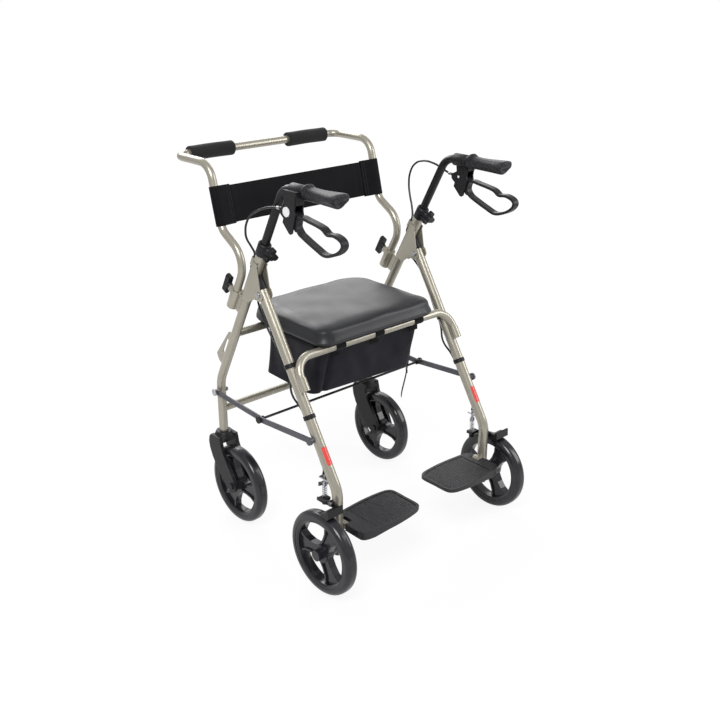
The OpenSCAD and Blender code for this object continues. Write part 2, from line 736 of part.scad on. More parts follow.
module brace_front_bars() {
    color(grey) for (s = [-1, 1]) side(s) difference() {
        union() {
            yz_plate(brace_x1, brace_x1 + brace_t)
                brace_outline([brace_mid_y, brace_mid_z], [brace_front_y, brace_front_z]);
            translate([0, brace_front_y, brace_front_z]) {
                xcyl(18, brace_x1 + brace_t - 1, brace_x1 + brace_t + 5);
                xcyl(13, frame_x + leg_d / 2 + gap, brace_x1 + 1);
            }
        }
        translate([0, brace_mid_y, brace_mid_z]) xcyl(rod_d + 2 * run, brace_x1 - 1, brace_x1 + brace_t + 1);
    }
}

// Padded seat: crowned top, sides drawn in between two seams
module seat_pad() {
    hx = seat_w / 2;
    hy = seat_l / 2;
    levels = [[0, 5], [3, 1], [8, 0], [0.45 * seat_h, 3], [seat_h - 9, 0.5], [seat_h - 6, 1], [seat_h - 4, 6],
        [seat_h - 2.6, 18], [seat_h - 1.2, 45], [seat_h, 95]];
    color(grey) translate([0, seat_front_y + hy, seat_z]) loft([for (l = levels) let (o = rounded(hx, hy, seat_r, seat_rear_r, 9))
        [for (p = o) [p[0] * (hx - l[1]) / hx, p[1] * (hy - l[1]) / hy, l[0]]]]);
}

// Board under the pad, with clips that turn on the upper cross tube
clip_x = 128;
module seat_board() {
    hx = seat_w / 2 - 8;
    hy = seat_l / 2 - 8;
    color(black) difference() {
        union() {
            translate([0, seat_front_y + seat_l / 2, board_z]) linear_extrude(board_t)
                polygon(rounded(hx, hy, seat_r - 8, seat_rear_r - 8, 9));
            for (x = [-clip_x, clip_x]) translate([x, cross_y, cross_z]) {
                xcyl(cross_d + 6, -12, 12);
                translate([-12, -cross_d / 2 - 3, 0]) cube([24, cross_d + 6, board_z - cross_z + 1]);
            }
        }
        translate([0, cross_y, cross_z]) xcyl(cross_d + 2 * slip, -frame_x, frame_x);
        // Mouths of the clips, open below
        for (x = [-clip_x, clip_x]) translate([x - 13, cross_y - cross_d / 2 + 2, cross_z - cross_d])
            cube([26, cross_d - 4, cross_d]);
    }
}

// Open shopping bag under the seat, hung on the upper cross tube
bag_front_top = bar_y + cross_d / 2 + web_t + 1;
bag_front_low = bag_front_top + 27;
bag_rear_top = cross_y - cross_d / 2 - 4.9;
bag_rear_low = cross_y + 5;
module bag_form(inset, z0, z1) {
    hull() for (l = [[z0, bag_front_low, bag_rear_low, 2], [z1, bag_front_top, bag_rear_top, 0]])
        translate([0, 0, l[0]]) linear_extrude(0.5) for (x = [-1, 1], y = [l[1] + inset + 16, l[2] - inset - 16])
            translate([x * (bag_w / 2 - l[3] - inset - 16), y]) circle(r = 16, $fn = 32);
}

module bag() {
    color([0.17, 0.17, 0.19]) {
        difference() {
            bag_form(0, bag_low_z, bag_top_z);
            bag_form(bag_wall, bag_low_z + bag_wall, bag_top_z + 5);
        }
        // Rear loops over the cross tube
        for (x = [-bag_w / 4.7, bag_w / 4.7]) translate([x, cross_y, cross_z]) difference() {
            union() {
                xcyl(cross_d + 2 * slip + 2 * web_t, -14, 14);
                translate([-14, -cross_d / 2 - 3.5, -28]) cube([28, 3.3, 28]);
            }
            xcyl(cross_d + 2 * slip, -20, 20);
        }
    }
}

// Front webbing loops over the seat arch
module bag_straps() {
    color([0.14, 0.14, 0.16]) for (x = [-0.345, 0.02, 0.41]) translate([x * bag_w, bar_y, bar_z]) difference() {
        union() {
            xcyl(cross_d + 0.2 + 2 * web_t, -14, 14);
            translate([-14, cross_d / 2 + 0.1, -30]) cube([28, web_t, 30]);
        }
        xcyl(cross_d + 0.2, -20, 20);
    }
}

// Loose webbing tail with its buckle at the bag's front corner
module tail_strap() {
    x = bag_w / 2 - 1.05;
    y = bag_front_low + 5;
    color([0.14, 0.14, 0.16]) translate([x, y, 0]) {
        yz_plate(0, web_t) polygon([[0, bag_low_z + 44], [20, bag_low_z + 44], [20, bag_low_z + 6], [18, bag_low_z - 24],
            [17, bag_low_z - 60], [8, bag_low_z - 92], [-8, bag_low_z - 90],
            [0, bag_low_z - 58], [0, bag_low_z - 24], [0, bag_low_z + 6]]);
        translate([-1, -2, bag_low_z - 30]) cube([web_t + 2.4, 22, 9]);
    }
}

// Handle tube with its row of height holes
module handle_tube(s) {
    low = hand_low_t;
    color(black) side(s) difference() {
        bent_tube([[frame_x, rear_leg_y - low * lean_s, rear_bend_z + low * lean_c],
            [frame_x, hand_y, hand_z], [frame_x, hand_y - clamp_y1 - grip_l + 12, hand_z]],
            [hand_bend_r], hand_d);
        lean_frame() {
            translate([0, 0, low - 1]) cylinder(d = hand_d - 3, h = hand_t - low - 40);
            for (k = [0 : 5]) translate([0, 0, upper_t + 32 + 16 * k]) ycyl(6, 0, hand_d);
        }
    }
}

// Hand grip: round root with a thumb bump, spreading into a palm wing
module grip(s) {
    // station, half width, top, bottom of each ring
    st = [[0, 13.5, 14, 13.5], [3, 14.6, 15, 14.6], [7, 14.6, 18, 14.6], [12, 14.2, 19.5, 14.4],
        [18, 14, 16.5, 14.2], [24, 14.2, 14, 14.2], [40, 15, 13.2, 14.4], [60, 17.5, 13.4, 14.8],
        [80, 20.5, 14.2, 15.2], [98, 23, 15.2, 15.6], [110, 23.5, 15.8, 15.6], [116, 21, 14.6, 14], [118, 17, 11, 10.5]];
    n = 28;
    color(black) side(s) hand_frame() translate([0, -clamp_y1 - gap, 0]) difference() {
        loft([for (q = st) [for (i = [0 : n - 1]) let (a = 360 * i / n, c = cos(a), z = sin(a),
            e = z > 0 ? 0.55 : 1, w = z > 0 ? q[1] : q[1] - (q[1] - 14) * min(1, -2 * z))
            [sign(c) * pow(abs(c), e) * w, -q[0] * grip_l / 118, z > 0 ? pow(z, 0.8) * q[2] : z * q[3]]]]);
        ycyl(hand_d + 2 * run, -grip_l + 12 - gap, 1);
    }
}

// Clamp and two-cheeked housing that the brake lever turns in
module housing_outline() {
    polygon([[-clamp_y0, 4], [-33, -28], [-19, -35], [-17, -40], [-18, -47], [-28, -55], [-25, -64], [-45, -84],
        [-50, -85.5], [-56, -82], [-66, -46], [-64, -36], [-clamp_y1, 4]]);
}

module brake_housing(s) {
    x0 = house_x0;
    x1 = house_x1;
    color(black) side(s) hand_frame() difference() {
        union() {
            ycyl(clamp_d, -clamp_y1, -clamp_y0);
            yz_plate(x0, x0 + house_wall) housing_outline();
            yz_plate(x1 - house_wall, x1) housing_outline();
            // Web over the lever, and the cable boss behind it
            yz_plate(x0 + 1, x1 - 1) polygon([[-clamp_y0 - 1, 3], [-33, -24], [-68, -24], [-clamp_y1 + 1, 3]]);
            yz_plate(x0 + 1, x1 - 1)
                polygon([[-33, -22], [-31, -30], [-20, -36], [-18, -40], [-19, -46], [-26, -52], [-30, -46], [-36, -23]]);
        }
        ycyl(hand_d + 2 * run, -clamp_y1 - 1, -clamp_y0 + 30);
        translate([0, pivot_y, pivot_z]) xcyl(pivot_d, x0 - 1, x1 + 1);
        // Seat of the cable ferrule
        translate([cable_x, 0, pivot_z]) ycyl(cable_d + 0.1, -24, 0);
    }
}

// Round cover on the lever pivot, with the pivot pin
module lever_cap(s) {
    color([0.95, 0.95, 0.95]) side(s) hand_frame() translate([0, pivot_y, pivot_z]) {
        xcyl(pivot_d, house_x0, house_x1 + 1);
        xcyl(20.5, house_x1, house_x1 + 2);
    }
}

// Loop-shaped brake lever
lever_path = [[-72, -46.5], [-100, -49], [-140, -55.5], [-158, -65], [-178, -63.5], [-197, -69], [-203, -79],
    [-194, -92], [-172, -104], [-148, -109], [-122, -101], [-88, -88], [-70, -79], [-62, -64]];
module brake_lever(s) {
    loop = loop_spline(lever_path, 5);
    x0 = house_x0 + (house_x1 - house_x0 - lever_w) / 2;
    color(black) side(s) hand_frame() difference() {
        union() {
            difference() {
                yz_plate(x0, x0 + lever_w) polygon(loop_offset(loop, -lever_t / 2));
                yz_plate(x0 - 1, x0 + lever_w + 1) polygon(loop_offset(loop, lever_t / 2));
            }
            // Root between the cheeks of the housing
            yz_plate(x0 + 0.5, x0 + lever_w - 0.5) polygon([[-68, -44.5], [-46, -33], [pivot_y + 3, -33], [-34, -38],
                [-35, -46], [-48, -62], [-60, -79], [-63.5, -72], [-62, -64], [-66, -52]]);
        }
        translate([0, pivot_y, pivot_z]) xcyl(pivot_d + 2 * run, 0, 40);
    }
}

// Free loop of brake cable from the housing to the eye on the hinge bracket
module upper_cable(s) {
    color(black) side(s) hand_frame() {
        translate([cable_x, 0, pivot_z]) ycyl(cable_d, -24, -9);
        translate([cable_x, 0, pivot_z]) ycyl(8, -16.5, -9);
        cord(concat([[cable_x, -9.5, pivot_z]], spline(s < 0 ? upper_left : upper_right, 2)), cable_d, 8);
    }
}

// Seesaw brake shoe: pulled up at the back, pressed on the tyre at the front
module brake_shoe(s) {
    x0 = shoe_x0;
    color(black) side(s) translate([frame_x, shoe_pivot_y, shoe_pivot_z]) difference() {
        union() {
            // Arm beside the leg
            xcyl(16, x0, x0 + 4);
            yz_plate(x0, x0 + 4) polygon([[48, -4], [26, -3], [0, 7], [-18, 4], [-30, 2], [-30, -6], [-14, -7], [0, -7],
                [26, -11], [48, -11.5]]);
            // Seat of the spring behind the leg
            translate([brake_x - 9, adjust_y - shoe_pivot_y - 9, -11]) cube([x0 + 11 - brake_x, 18, 7]);
            translate([brake_x, adjust_y - shoe_pivot_y, -21]) cylinder(d = 13, h = 11);
            // Blade over the tyre
            translate([x0, 0, 0]) yz_plate(0, wheel_out + tyre_w / 2 - x0 - 1)
                polygon([[-12, -9], [-12, -2], [-26, 2], [-33, 11], [-36, 10], [-37, -8], [-30, -14]]);
        }
        xcyl(6 + 2 * run, 0, 40);
        translate([0, front_leg_y - shoe_pivot_y, wheel_r - shoe_pivot_z]) xcyl(wheel_d + 2 * shoe_gap, 10, 80);
    }
}

// Caster fork with its stem and wheel bolt
fork_x0 = tyre_w / 2 + 3;
fork_t = 9;
module fork_arm() {
    polygon(concat([[-18, 118], [18, 118], [25, 110], [28, 96], [25, 78], [15, 56], [0, 34], [-22, 6]],
        [for (k = [0 : 10]) let (w = -50 - 14 * k) [-trail + 17 * cos(w), 17 * sin(w)]],
        [[-66, 28], [-48, 54], [-33, 76], [-24, 94], [-21, 108]]));
}

crown_z = wheel_r + 4.5;
module caster_fork(s) {
    top = fork_top_z - wheel_r;
    color(black) side(s) translate([frame_x, rear_leg_y, wheel_r]) union() {
        for (x = [-fork_x0 - fork_t, fork_x0]) yz_plate(x, x + fork_t) fork_arm();
        // Crown
        intersection() {
            translate([0, 0, crown_z]) cylinder(d1 = 60, d2 = 38, h = top - crown_z);
            translate([-fork_x0 - fork_t + 0.5, -23, crown_z]) cube([2 * (fork_x0 + fork_t) - 1, 48, 60]);
        }
        // Stem in the rear leg
        translate([0, 0, crown_z + 2]) cylinder(d = stem_d, h = top - crown_z - 2 + stem_l);
        // Wheel bolt
        translate([0, -trail, 0]) xcyl(axle_d, -fork_x0 - fork_t - 1, fork_x0 + fork_t + 1);
        for (x = [-fork_x0 - fork_t - 4, fork_x0 + fork_t]) translate([0, -trail, 0]) xcyl(17, x, x + 4);
    }
}

// Moulded wheel with three spokes; axis along X
module wheel(hub_in, hub_out, bore_out, phase) {
    rim_r = wheel_r - 17;
    difference() {
        union() {
            rotate([0, 90, 0]) rotate_extrude($fn = 96) polygon([[rim_r - 9, -tyre_w / 2 + 4], [rim_r - 4, -tyre_w / 2 + 1],
                [rim_r, -tyre_w / 2 + 1], [rim_r, -4], [rim_r + 4, -3], [rim_r + 4, 3], [rim_r, 4], [rim_r, tyre_w / 2 - 1],
                [rim_r - 4, tyre_w / 2 - 1], [rim_r - 9, tyre_w / 2 - 4]]);
            xcyl(44, -tyre_w / 2 + 5, tyre_w / 2 - 5);
            xcyl(32, -hub_in, tyre_w / 2 - 4);
            xcyl(26, 0, hub_out);
            for (k = [0 : 2]) rotate([120 * k + phase, 0, 0]) {
                yz_plate(-5, 5) polygon([[-15, 0], [15, 0], [14, 36], [17, 54], [27, rim_r - 8], [-27, rim_r - 8], [-17, 54],
                    [-14, 36]]);
                // Raised edges of the spoke
                for (m = [-1, 1]) yz_plate(-9, 9) polygon([[m * 10, 12], [m * 15.5, 12], [m * 14.5, 36], [m * 17.5, 54],
                    [m * 28, rim_r - 9], [m * 23, rim_r - 7.5], [m * 13, 55], [m * 10, 36]]);
            }
        }
        xcyl(axle_d + 2 * run, -60, bore_out);
    }
}

// Solid tyre with a groove that seats on the rim's rib
tyre_r = 12;
module tyre() {
    rim_r = wheel_r - 17;
    w = tyre_w / 2;
    rotate([0, 90, 0]) rotate_extrude($fn = 96) difference() {
        union() {
            translate([rim_r, -w]) square([17 - tyre_r, 2 * w]);
            translate([rim_r, -w + tyre_r]) square([17, 2 * w - 2 * tyre_r]);
            for (z = [-1, 1]) translate([wheel_r - tyre_r, z * (w - tyre_r)]) circle(r = tyre_r);
        }
        polygon([[rim_r - 20, -w - 1], [rim_r + 0.1, -w - 1], [rim_r + 0.1, -4.2], [rim_r + 4.15, -3.2],
            [rim_r + 4.15, 3.2], [rim_r + 0.1, 4.2], [rim_r + 0.1, w + 1], [rim_r - 20, w + 1]]);
    }
}

module at_caster(s) {
    side(s) translate([frame_x, caster_y, wheel_r]) children();
}

module at_brake(s) {
    side(s) translate([wheel_x, front_leg_y, wheel_r]) children();
}

// Three-lobed clamp knob; its screw points along +Y
module star_knob(s) {
    color(black) side(s) lean_frame() translate([0, star_n - gap, star_t]) {
        ycyl(8, 0, -star_n + gap - hand_d / 2 - gap);
        rotate([90, 0, 0]) {
            cylinder(d = 18, h = 15);
            for (k = [0 : 2]) rotate(90 + 120 * k) {
                translate([13, 0, 2]) cylinder(d = 13, h = 11);
                translate([0, -5, 2]) cube([13, 10, 11]);
            }
        }
    }
}

// T-bar clamp knob of the backrest socket
back_knob_n = socket_n + socket_d / 2 + 7 + gap;
module back_knob(s) {
    color(black) side(s) lean_frame() translate([0, back_knob_n, socket_screw_t]) {
        ycyl(8, -back_knob_n + socket_n + back_d / 2 + gap, 1);
        ycyl(16, 0, 12);
        translate([-6.5, 8, -19]) cube([13, 14, 38]);
        for (z = [-19, 19]) translate([0, 0, z]) ycyl(13, 8, 22);
    }
}

// Backrest tube that ends in the push bar
push_r = 30;
module push_bar() {
    low_t = socket_t0 + 3;
    half = [[frame_x, rear_leg_y - low_t * lean_s + socket_n * lean_c, rear_bend_z + low_t * lean_c + socket_n * lean_s],
        [frame_x, knee_y, knee_z], [frame_x, heel_y, heel_z], [frame_x, neck_y, neck_z], [frame_x, push_y, neck_z]];
    other = [for (i = [len(half) - 1 : -1 : 0]) [-half[i][0], half[i][1], half[i][2]]];
    color(champagne) bent_tube(concat(half, other), [57, 35, 45, push_r, push_r, 45, 35, 57], back_d);
}

module foam_grips() {
    color(black) for (s = [-1, 1]) side(s) translate([0, push_y, neck_z]) difference() {
        union() {
            xcyl(foam_d, foam_x0 + 2, foam_x1 - 2);
            xcyl(foam_d - 4, foam_x0, foam_x1);
        }
        xcyl(back_d + 2 * run, foam_x0 - 1, foam_x1 + 1);
    }
}

// Back strap sewn round both backrest tubes, hollowed a little by use
strap_low = 5 + 14.5;
strap_h = 88;
strap_sag = 9;
module back_sling() {
    r = back_d / 2 + slip;
    line = [for (i = [0 : 16]) let (x = -1 + i / 8) [x * frame_x, strap_sag * (1 - x * x)]];
    color(black) translate([0, heel_y, heel_z]) rotate([-sling_a, 0, 0]) translate([0, 0, strap_low - 5])
        linear_extrude(strap_h) difference() {
            union() {
                polygon(concat([for (p = line) p - [0, 1.4]], [for (i = [16 : -1 : 0]) line[i] + [0, 1.4]]));
                for (x = [-frame_x, frame_x]) translate([x, 0]) circle(r = r + 1.8);
            }
            for (x = [-frame_x, frame_x]) translate([x, 0]) circle(r = r);
        }
}

// Flip-up footplate: a thick root on the hinge, thinning to the free end
foot_mid = front_leg_y - foot_l / 2 + 40;
foot_in = foot_w - 9;
foot_edge = loop_spline([[-9, -foot_l * 0.24], [-6, -foot_l * 0.35], [4, -foot_l * 0.43], [foot_in * 0.2, -foot_l * 0.47], [foot_in * 0.52, -foot_l / 2],
    [foot_in * 0.8, -foot_l * 0.485], [foot_in * 0.94, -foot_l * 0.44], [foot_in, -foot_l * 0.33], [foot_in + 0.4, 0],
    [foot_in, foot_l * 0.33], [foot_in * 0.94, foot_l * 0.44], [foot_in * 0.8, foot_l * 0.485], [foot_in * 0.52, foot_l / 2],
    [foot_in * 0.2, foot_l * 0.47], [4, foot_l * 0.43], [-6, foot_l * 0.35], [-9, foot_l * 0.24], [-9.4, 0]], 4);
module foot_slab(inset, z0, z1) {
    translate([foot_axis_x, foot_mid, z0]) mirror([1, 0, 0]) linear_extrude(z1 - z0)
        polygon(inset == 0 ? foot_edge : loop_offset(foot_edge, inset));
}

module footplate(s) {
    top = foot_top_z - foot_axis_z;
    root = foot_t + 5;
    color(grey) side(s) difference() {
        intersection() {
            foot_slab(0, foot_top_z - 40, foot_top_z + 10);
            translate([foot_axis_x, front_leg_y - foot_l, foot_axis_z]) mirror([1, 0, 0]) rotate([90, 0, 0])
                mirror([0, 0, 1]) linear_extrude(2 * foot_l) polygon([[-12, top - 3], [-8, top], [foot_w, top],
                    [foot_w, top - 8], [foot_w * 0.35, top - foot_t], [26, top - root], [-6, top - root], [-12, top - root + 5]]);
        }
        // Tread sunk inside the rim
        difference() {
            foot_slab(7, foot_top_z - 1.2, foot_top_z + 10);
            translate([foot_axis_x - 26, foot_mid - foot_l, foot_axis_z]) cube([60, 2 * foot_l, 40]);
        }
        // Hollow under the plate
        difference() {
            foot_slab(6, foot_top_z - 40, foot_top_z - 5);
            translate([foot_axis_x - 34, foot_mid - foot_l, foot_axis_z - 60]) cube([60, 2 * foot_l, 80]);
        }
        // Room for the hanger
        translate([foot_axis_x - 12, front_leg_y - foot_barrel_l / 2 - gap, foot_top_z - 60])
            cube([40, foot_barrel_l + 2 * gap, 100]);
        translate([foot_axis_x, front_leg_y, foot_axis_z]) ycyl(foot_pin_d + 2 * run, -60, 60);
    }
}

main_tube(-1);  // main_tube_left
main_tube(1);  // main_tube_right
cross_tube(rear_leg_y, low_cross_z);  // lower_cross_tube
cross_tube(cross_y, cross_z);  // upper_cross_tube
frame_lugs();
hinge_brackets();
back_sockets();
height_collars();
frame_bolts();
front_leg(-1);  // front_leg_left
front_leg(1);  // front_leg_right
leg_plugs();
seat_bar();
reflectors();
cable_clips();
leg_cables();
brake_adjusters();
brake_springs();
leg_bolts();
brace_rear_bars();
brace_rod();
brace_front_bars();
seat_pad();
seat_board();
bag();
bag_straps();
tail_strap();
handle_tube(-1);  // handle_tube_left
handle_tube(1);  // handle_tube_right
grip(-1);  // grip_left
grip(1);  // grip_right
brake_housing(-1);  // brake_housing_left
brake_housing(1);  // brake_housing_right
lever_cap(-1);  // lever_cap_left
lever_cap(1);  // lever_cap_right
upper_cable(-1);  // upper_cable_left
upper_cable(1);  // upper_cable_right
brake_lever(-1);  // brake_lever_left
brake_lever(1);  // brake_lever_right
brake_shoe(-1);  // brake_shoe_left
brake_shoe(1);  // brake_shoe_right
caster_fork(-1);  // caster_fork_left
caster_fork(1);  // caster_fork_right
color(black) at_caster(-1) wheel(fork_x0 - gap, fork_x0 - gap, 60, 90);  // caster_wheel_left
color(black) at_caster(1) wheel(fork_x0 - gap, fork_x0 - gap, 60, 90);  // caster_wheel_right
color(grey) at_caster(-1) tyre();  // caster_tyre_left
color(grey) at_caster(1) tyre();  // caster_tyre_right
color(black) at_brake(-1) wheel(wheel_out - hub_x0, hub_x1 + 4.5 - wheel_out, hub_x1 - wheel_out, 30);  // brake_wheel_left
color(black) at_brake(1) wheel(wheel_out - hub_x0, hub_x1 + 4.5 - wheel_out, hub_x1 - wheel_out, 30);  // brake_wheel_right
color(grey) at_brake(-1) tyre();  // brake_tyre_left
color(grey) at_brake(1) tyre();  // brake_tyre_right
star_knob(-1);  // star_knob_left
star_knob(1);  // star_knob_right
back_knob(-1);  // back_knob_left
back_knob(1);  // back_knob_right
push_bar();
foam_grips();
back_sling();
footplate(-1);  // footplate_left
footplate(1);  // footplate_right
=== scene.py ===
import math

import bpy
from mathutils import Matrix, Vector


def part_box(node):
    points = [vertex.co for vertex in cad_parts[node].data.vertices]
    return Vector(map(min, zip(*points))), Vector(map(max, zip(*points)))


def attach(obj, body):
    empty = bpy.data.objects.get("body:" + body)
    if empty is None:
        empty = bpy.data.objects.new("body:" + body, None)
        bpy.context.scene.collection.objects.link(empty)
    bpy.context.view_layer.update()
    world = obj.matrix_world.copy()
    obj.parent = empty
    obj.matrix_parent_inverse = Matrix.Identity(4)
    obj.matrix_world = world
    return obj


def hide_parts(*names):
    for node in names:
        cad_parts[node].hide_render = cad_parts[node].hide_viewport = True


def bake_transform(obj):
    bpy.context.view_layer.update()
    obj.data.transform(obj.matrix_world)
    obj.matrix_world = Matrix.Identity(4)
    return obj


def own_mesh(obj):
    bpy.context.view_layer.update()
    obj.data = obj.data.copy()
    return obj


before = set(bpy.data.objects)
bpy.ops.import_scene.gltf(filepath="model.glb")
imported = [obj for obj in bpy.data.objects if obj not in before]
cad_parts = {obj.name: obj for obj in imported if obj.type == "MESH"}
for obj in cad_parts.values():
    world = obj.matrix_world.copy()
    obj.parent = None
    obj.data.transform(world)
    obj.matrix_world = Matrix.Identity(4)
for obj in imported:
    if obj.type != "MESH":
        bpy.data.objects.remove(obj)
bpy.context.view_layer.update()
MM = 0.001
SIDES = (("left", -1), ("right", 1))


# Sizes that the soft pieces and cables share with the frame, in metres

FRAME_X = 0.243
HINGE_Y = 0.002828
HINGE_Z = 0.632065
LEG_LEAN = math.radians(31.8)
REAR_LEG_Y = 0.1915
REAR_BEND_Z = 0.3647
TUBE_LEAN = math.radians(27.8)
HAND_Y = -0.081336
HAND_Z = 0.88218
CABLE_D = 0.005
FERRULE_D = 0.0076
FERRULE_L = 0.010
FERRULE_X = 0.015
FERRULE_DROP = 0.040


def along_leg(across, behind, up):
    """Point beside the front leg: behind its axis, and up along it from the hinge."""
    return Vector((across, HINGE_Y + behind * math.cos(LEG_LEAN) + up * math.sin(LEG_LEAN),
                   HINGE_Z - behind * math.sin(LEG_LEAN) + up * math.cos(LEG_LEAN)))


def along_tube(across, behind, up):
    """Point beside the upper tube: behind its axis, and up along it from the rear leg's bend."""
    return Vector((across, REAR_LEG_Y + behind * math.cos(TUBE_LEAN) - up * math.sin(TUBE_LEAN),
                   REAR_BEND_Z + behind * math.sin(TUBE_LEAN) + up * math.cos(TUBE_LEAN)))


def smooth(t):
    t = min(1.0, max(0.0, t))
    return t * t * (3 - 2 * t)


def between(rows, t):
    """Row of numbers at t from 0 to 1 along a list of rows, on straight lines between them."""
    spot = t * (len(rows) - 1)
    i = min(int(spot), len(rows) - 2)
    return tuple(a + (b - a) * (spot - i) for a, b in zip(rows[i], rows[i + 1]))


# Camera, light and floor

def aim(thing, eye, target):
    thing.location = eye
    thing.rotation_euler = (Vector(target) - Vector(eye)).to_track_quat("-Z", "Y").to_euler()


EYE = (-1.4265, -1.6140, 1.3037)
TARGET = (-0.1594, -0.2029, 0.4935)
camera_data = bpy.data.cameras.new("camera")
camera_data.sensor_width = 36
camera_data.lens = 47.575
camera_data.shift_x = 0.0085
camera_data.shift_y = 0.0126
camera_data.clip_end = 60
camera = bpy.data.objects.new("camera", camera_data)
bpy.context.scene.collection.objects.link(camera)
aim(camera, EYE, TARGET)
bpy.context.scene.camera = camera
bpy.context.scene.view_settings.view_transform = "Standard"


def soft_lamp(name, eye, target, size, watts):
    data = bpy.data.lights.new(name, "AREA")
    data.shape = "RECTANGLE"
    data.size = size[0]
    data.size_y = size[1]
    data.energy = watts
    lamp = bpy.data.objects.new(name, data)
    lamp.visible_camera = False
    bpy.context.scene.collection.objects.link(lamp)
    aim(lamp, eye, target)


soft_lamp("key_window", (-1.7, -1.3, 2.7), (0, 0, 0.45), (1.3, 1.3), 62)
soft_lamp("fill_window", (1.9, -1.7, 1.6), (0, 0, 0.45), (1.0, 1.6), 22)
soft_lamp("rim_window", (0.3, 2.3, 2.3), (0, 0, 0.5), (2.0, 1.0), 34)
soft_lamp("rear_window", (1.7, 2.1, 1.6), (0, 0, 0.5), (2.4, 1.5), 19)


# Materials

# Millimetres: slow shading of handled cloth, creases of a soft skin, scuffs of a tread, cells of a film
HANDLED_MM = 60
CREASE_MM = 45
SCUFF_MM = 2.2
PRISM_MM = 3.0


def linear(code):
    """Linear colour of an sRGB hex value."""
    out = []
    for i in (1, 3, 5):
        c = int(code[i:i + 2], 16) / 255
        out.append(c / 12.92 if c <= 0.04045 else ((c + 0.055) / 1.055) ** 2.4)
    return (*out, 1.0)


def add(tree, kind, links=None, values=None, **settings):
    """One node with its settings, socket values and incoming links."""
    made = tree.nodes.new(kind)
    for key, value in settings.items():
        setattr(made, key, value)
    for key, value in (values or {}).items():
        made.inputs[key].default_value = value
    for key, source in (links or {}).items():
        tree.links.new(source, made.inputs[key])
    return made


def per_mm(size_mm):
    """Noise or Voronoi scale whose features are about that many millimetres across."""
    return 1000 / size_mm


def band_scale(pitch_mm):
    """Wave scale whose bands repeat at that many millimetres."""
    return 2 * math.pi / (20 * pitch_mm * MM)


def blank(name):
    mat = bpy.data.materials.new(name)
    mat.use_nodes = True
    mat.node_tree.nodes.clear()
    return mat, mat.node_tree


def ramp(tree, source, low, high, start=0.3, end=0.7):
    """Colour that goes from one to the other with a pattern."""
    made = add(tree, "ShaderNodeValToRGB", {"Fac": source})
    made.color_ramp.elements[0].position = start
    made.color_ramp.elements[0].color = low
    made.color_ramp.elements[1].position = end
    made.color_ramp.elements[1].color = high
    return made.outputs["Color"]


def spread(tree, source, low, high):
    """Number that goes from low to high with a pattern."""
    return add(tree, "ShaderNodeMapRange", {"Value": source},
               {"From Min": 0.3, "From Max": 0.7, "To Min": low, "To Max": high}).outputs["Result"]


def moulded(name, dark, pale, patch_mm, rough, grain_mm, grain_depth_mm, **shader):
    """Even finish with slow colour change, a fine grain in its bump, and roughness that follows both."""
    mat, tree = blank(name)
    place = add(tree, "ShaderNodeTexCoord").outputs["Object"]
    patch = add(tree, "ShaderNodeTexNoise", {"Vector": place},
                {"Scale": per_mm(patch_mm), "Detail": 3.0, "Roughness": 0.6}).outputs["Fac"]
    grain = add(tree, "ShaderNodeTexNoise", {"Vector": place},
                {"Scale": per_mm(grain_mm), "Detail": 2.0}).outputs["Fac"]
    bump = add(tree, "ShaderNodeBump", {"Height": grain}, {"Strength": 1.0, "Distance": grain_depth_mm * MM})
    values = {"IOR": 1.5}
    values.update(shader)
    skin = add(tree, "ShaderNodeBsdfPrincipled",
               {"Base Color": ramp(tree, patch, linear(dark), linear(pale)),
                "Roughness": spread(tree, patch, rough[0], rough[1]), "Normal": bump.outputs["Normal"]},
               values)
    add(tree, "ShaderNodeOutputMaterial", {"Surface": skin.outputs["BSDF"]})
    return mat


def speckled_with_painted_glints(name, base, glint_colour, pebble_mm, rough, depth_mm):
    """Moulded plastic from a spark-eroded tool: pale flecks painted in as highlights, where the pebbled skin
    catches light.
    """
    mat, tree = blank(name)
    place = add(tree, "ShaderNodeTexCoord").outputs["Object"]
    pebble = add(tree, "ShaderNodeTexVoronoi", {"Vector": place},
                 {"Scale": per_mm(pebble_mm)}).outputs["Distance"]
    cloud = add(tree, "ShaderNodeTexNoise", {"Vector": place},
                {"Scale": per_mm(pebble_mm * 1.4), "Detail": 2.0}).outputs["Fac"]
    bump = add(tree, "ShaderNodeBump", {"Height": pebble}, {"Strength": 1.0, "Distance": depth_mm * MM})
    # The base colour runs to the pale colour in noise patches: painted highlights of the pebbled skin
    skin = add(tree, "ShaderNodeBsdfPrincipled",
               {"Base Color": ramp(tree, cloud, linear(base), linear(glint_colour), 0.42, 0.72),
                "Roughness": spread(tree, cloud, rough[0], rough[1]), "Normal": bump.outputs["Normal"]},
               {"IOR": 1.5, "Specular IOR Level": 0.28})
    add(tree, "ShaderNodeOutputMaterial", {"Surface": skin.outputs["BSDF"]})
    return mat


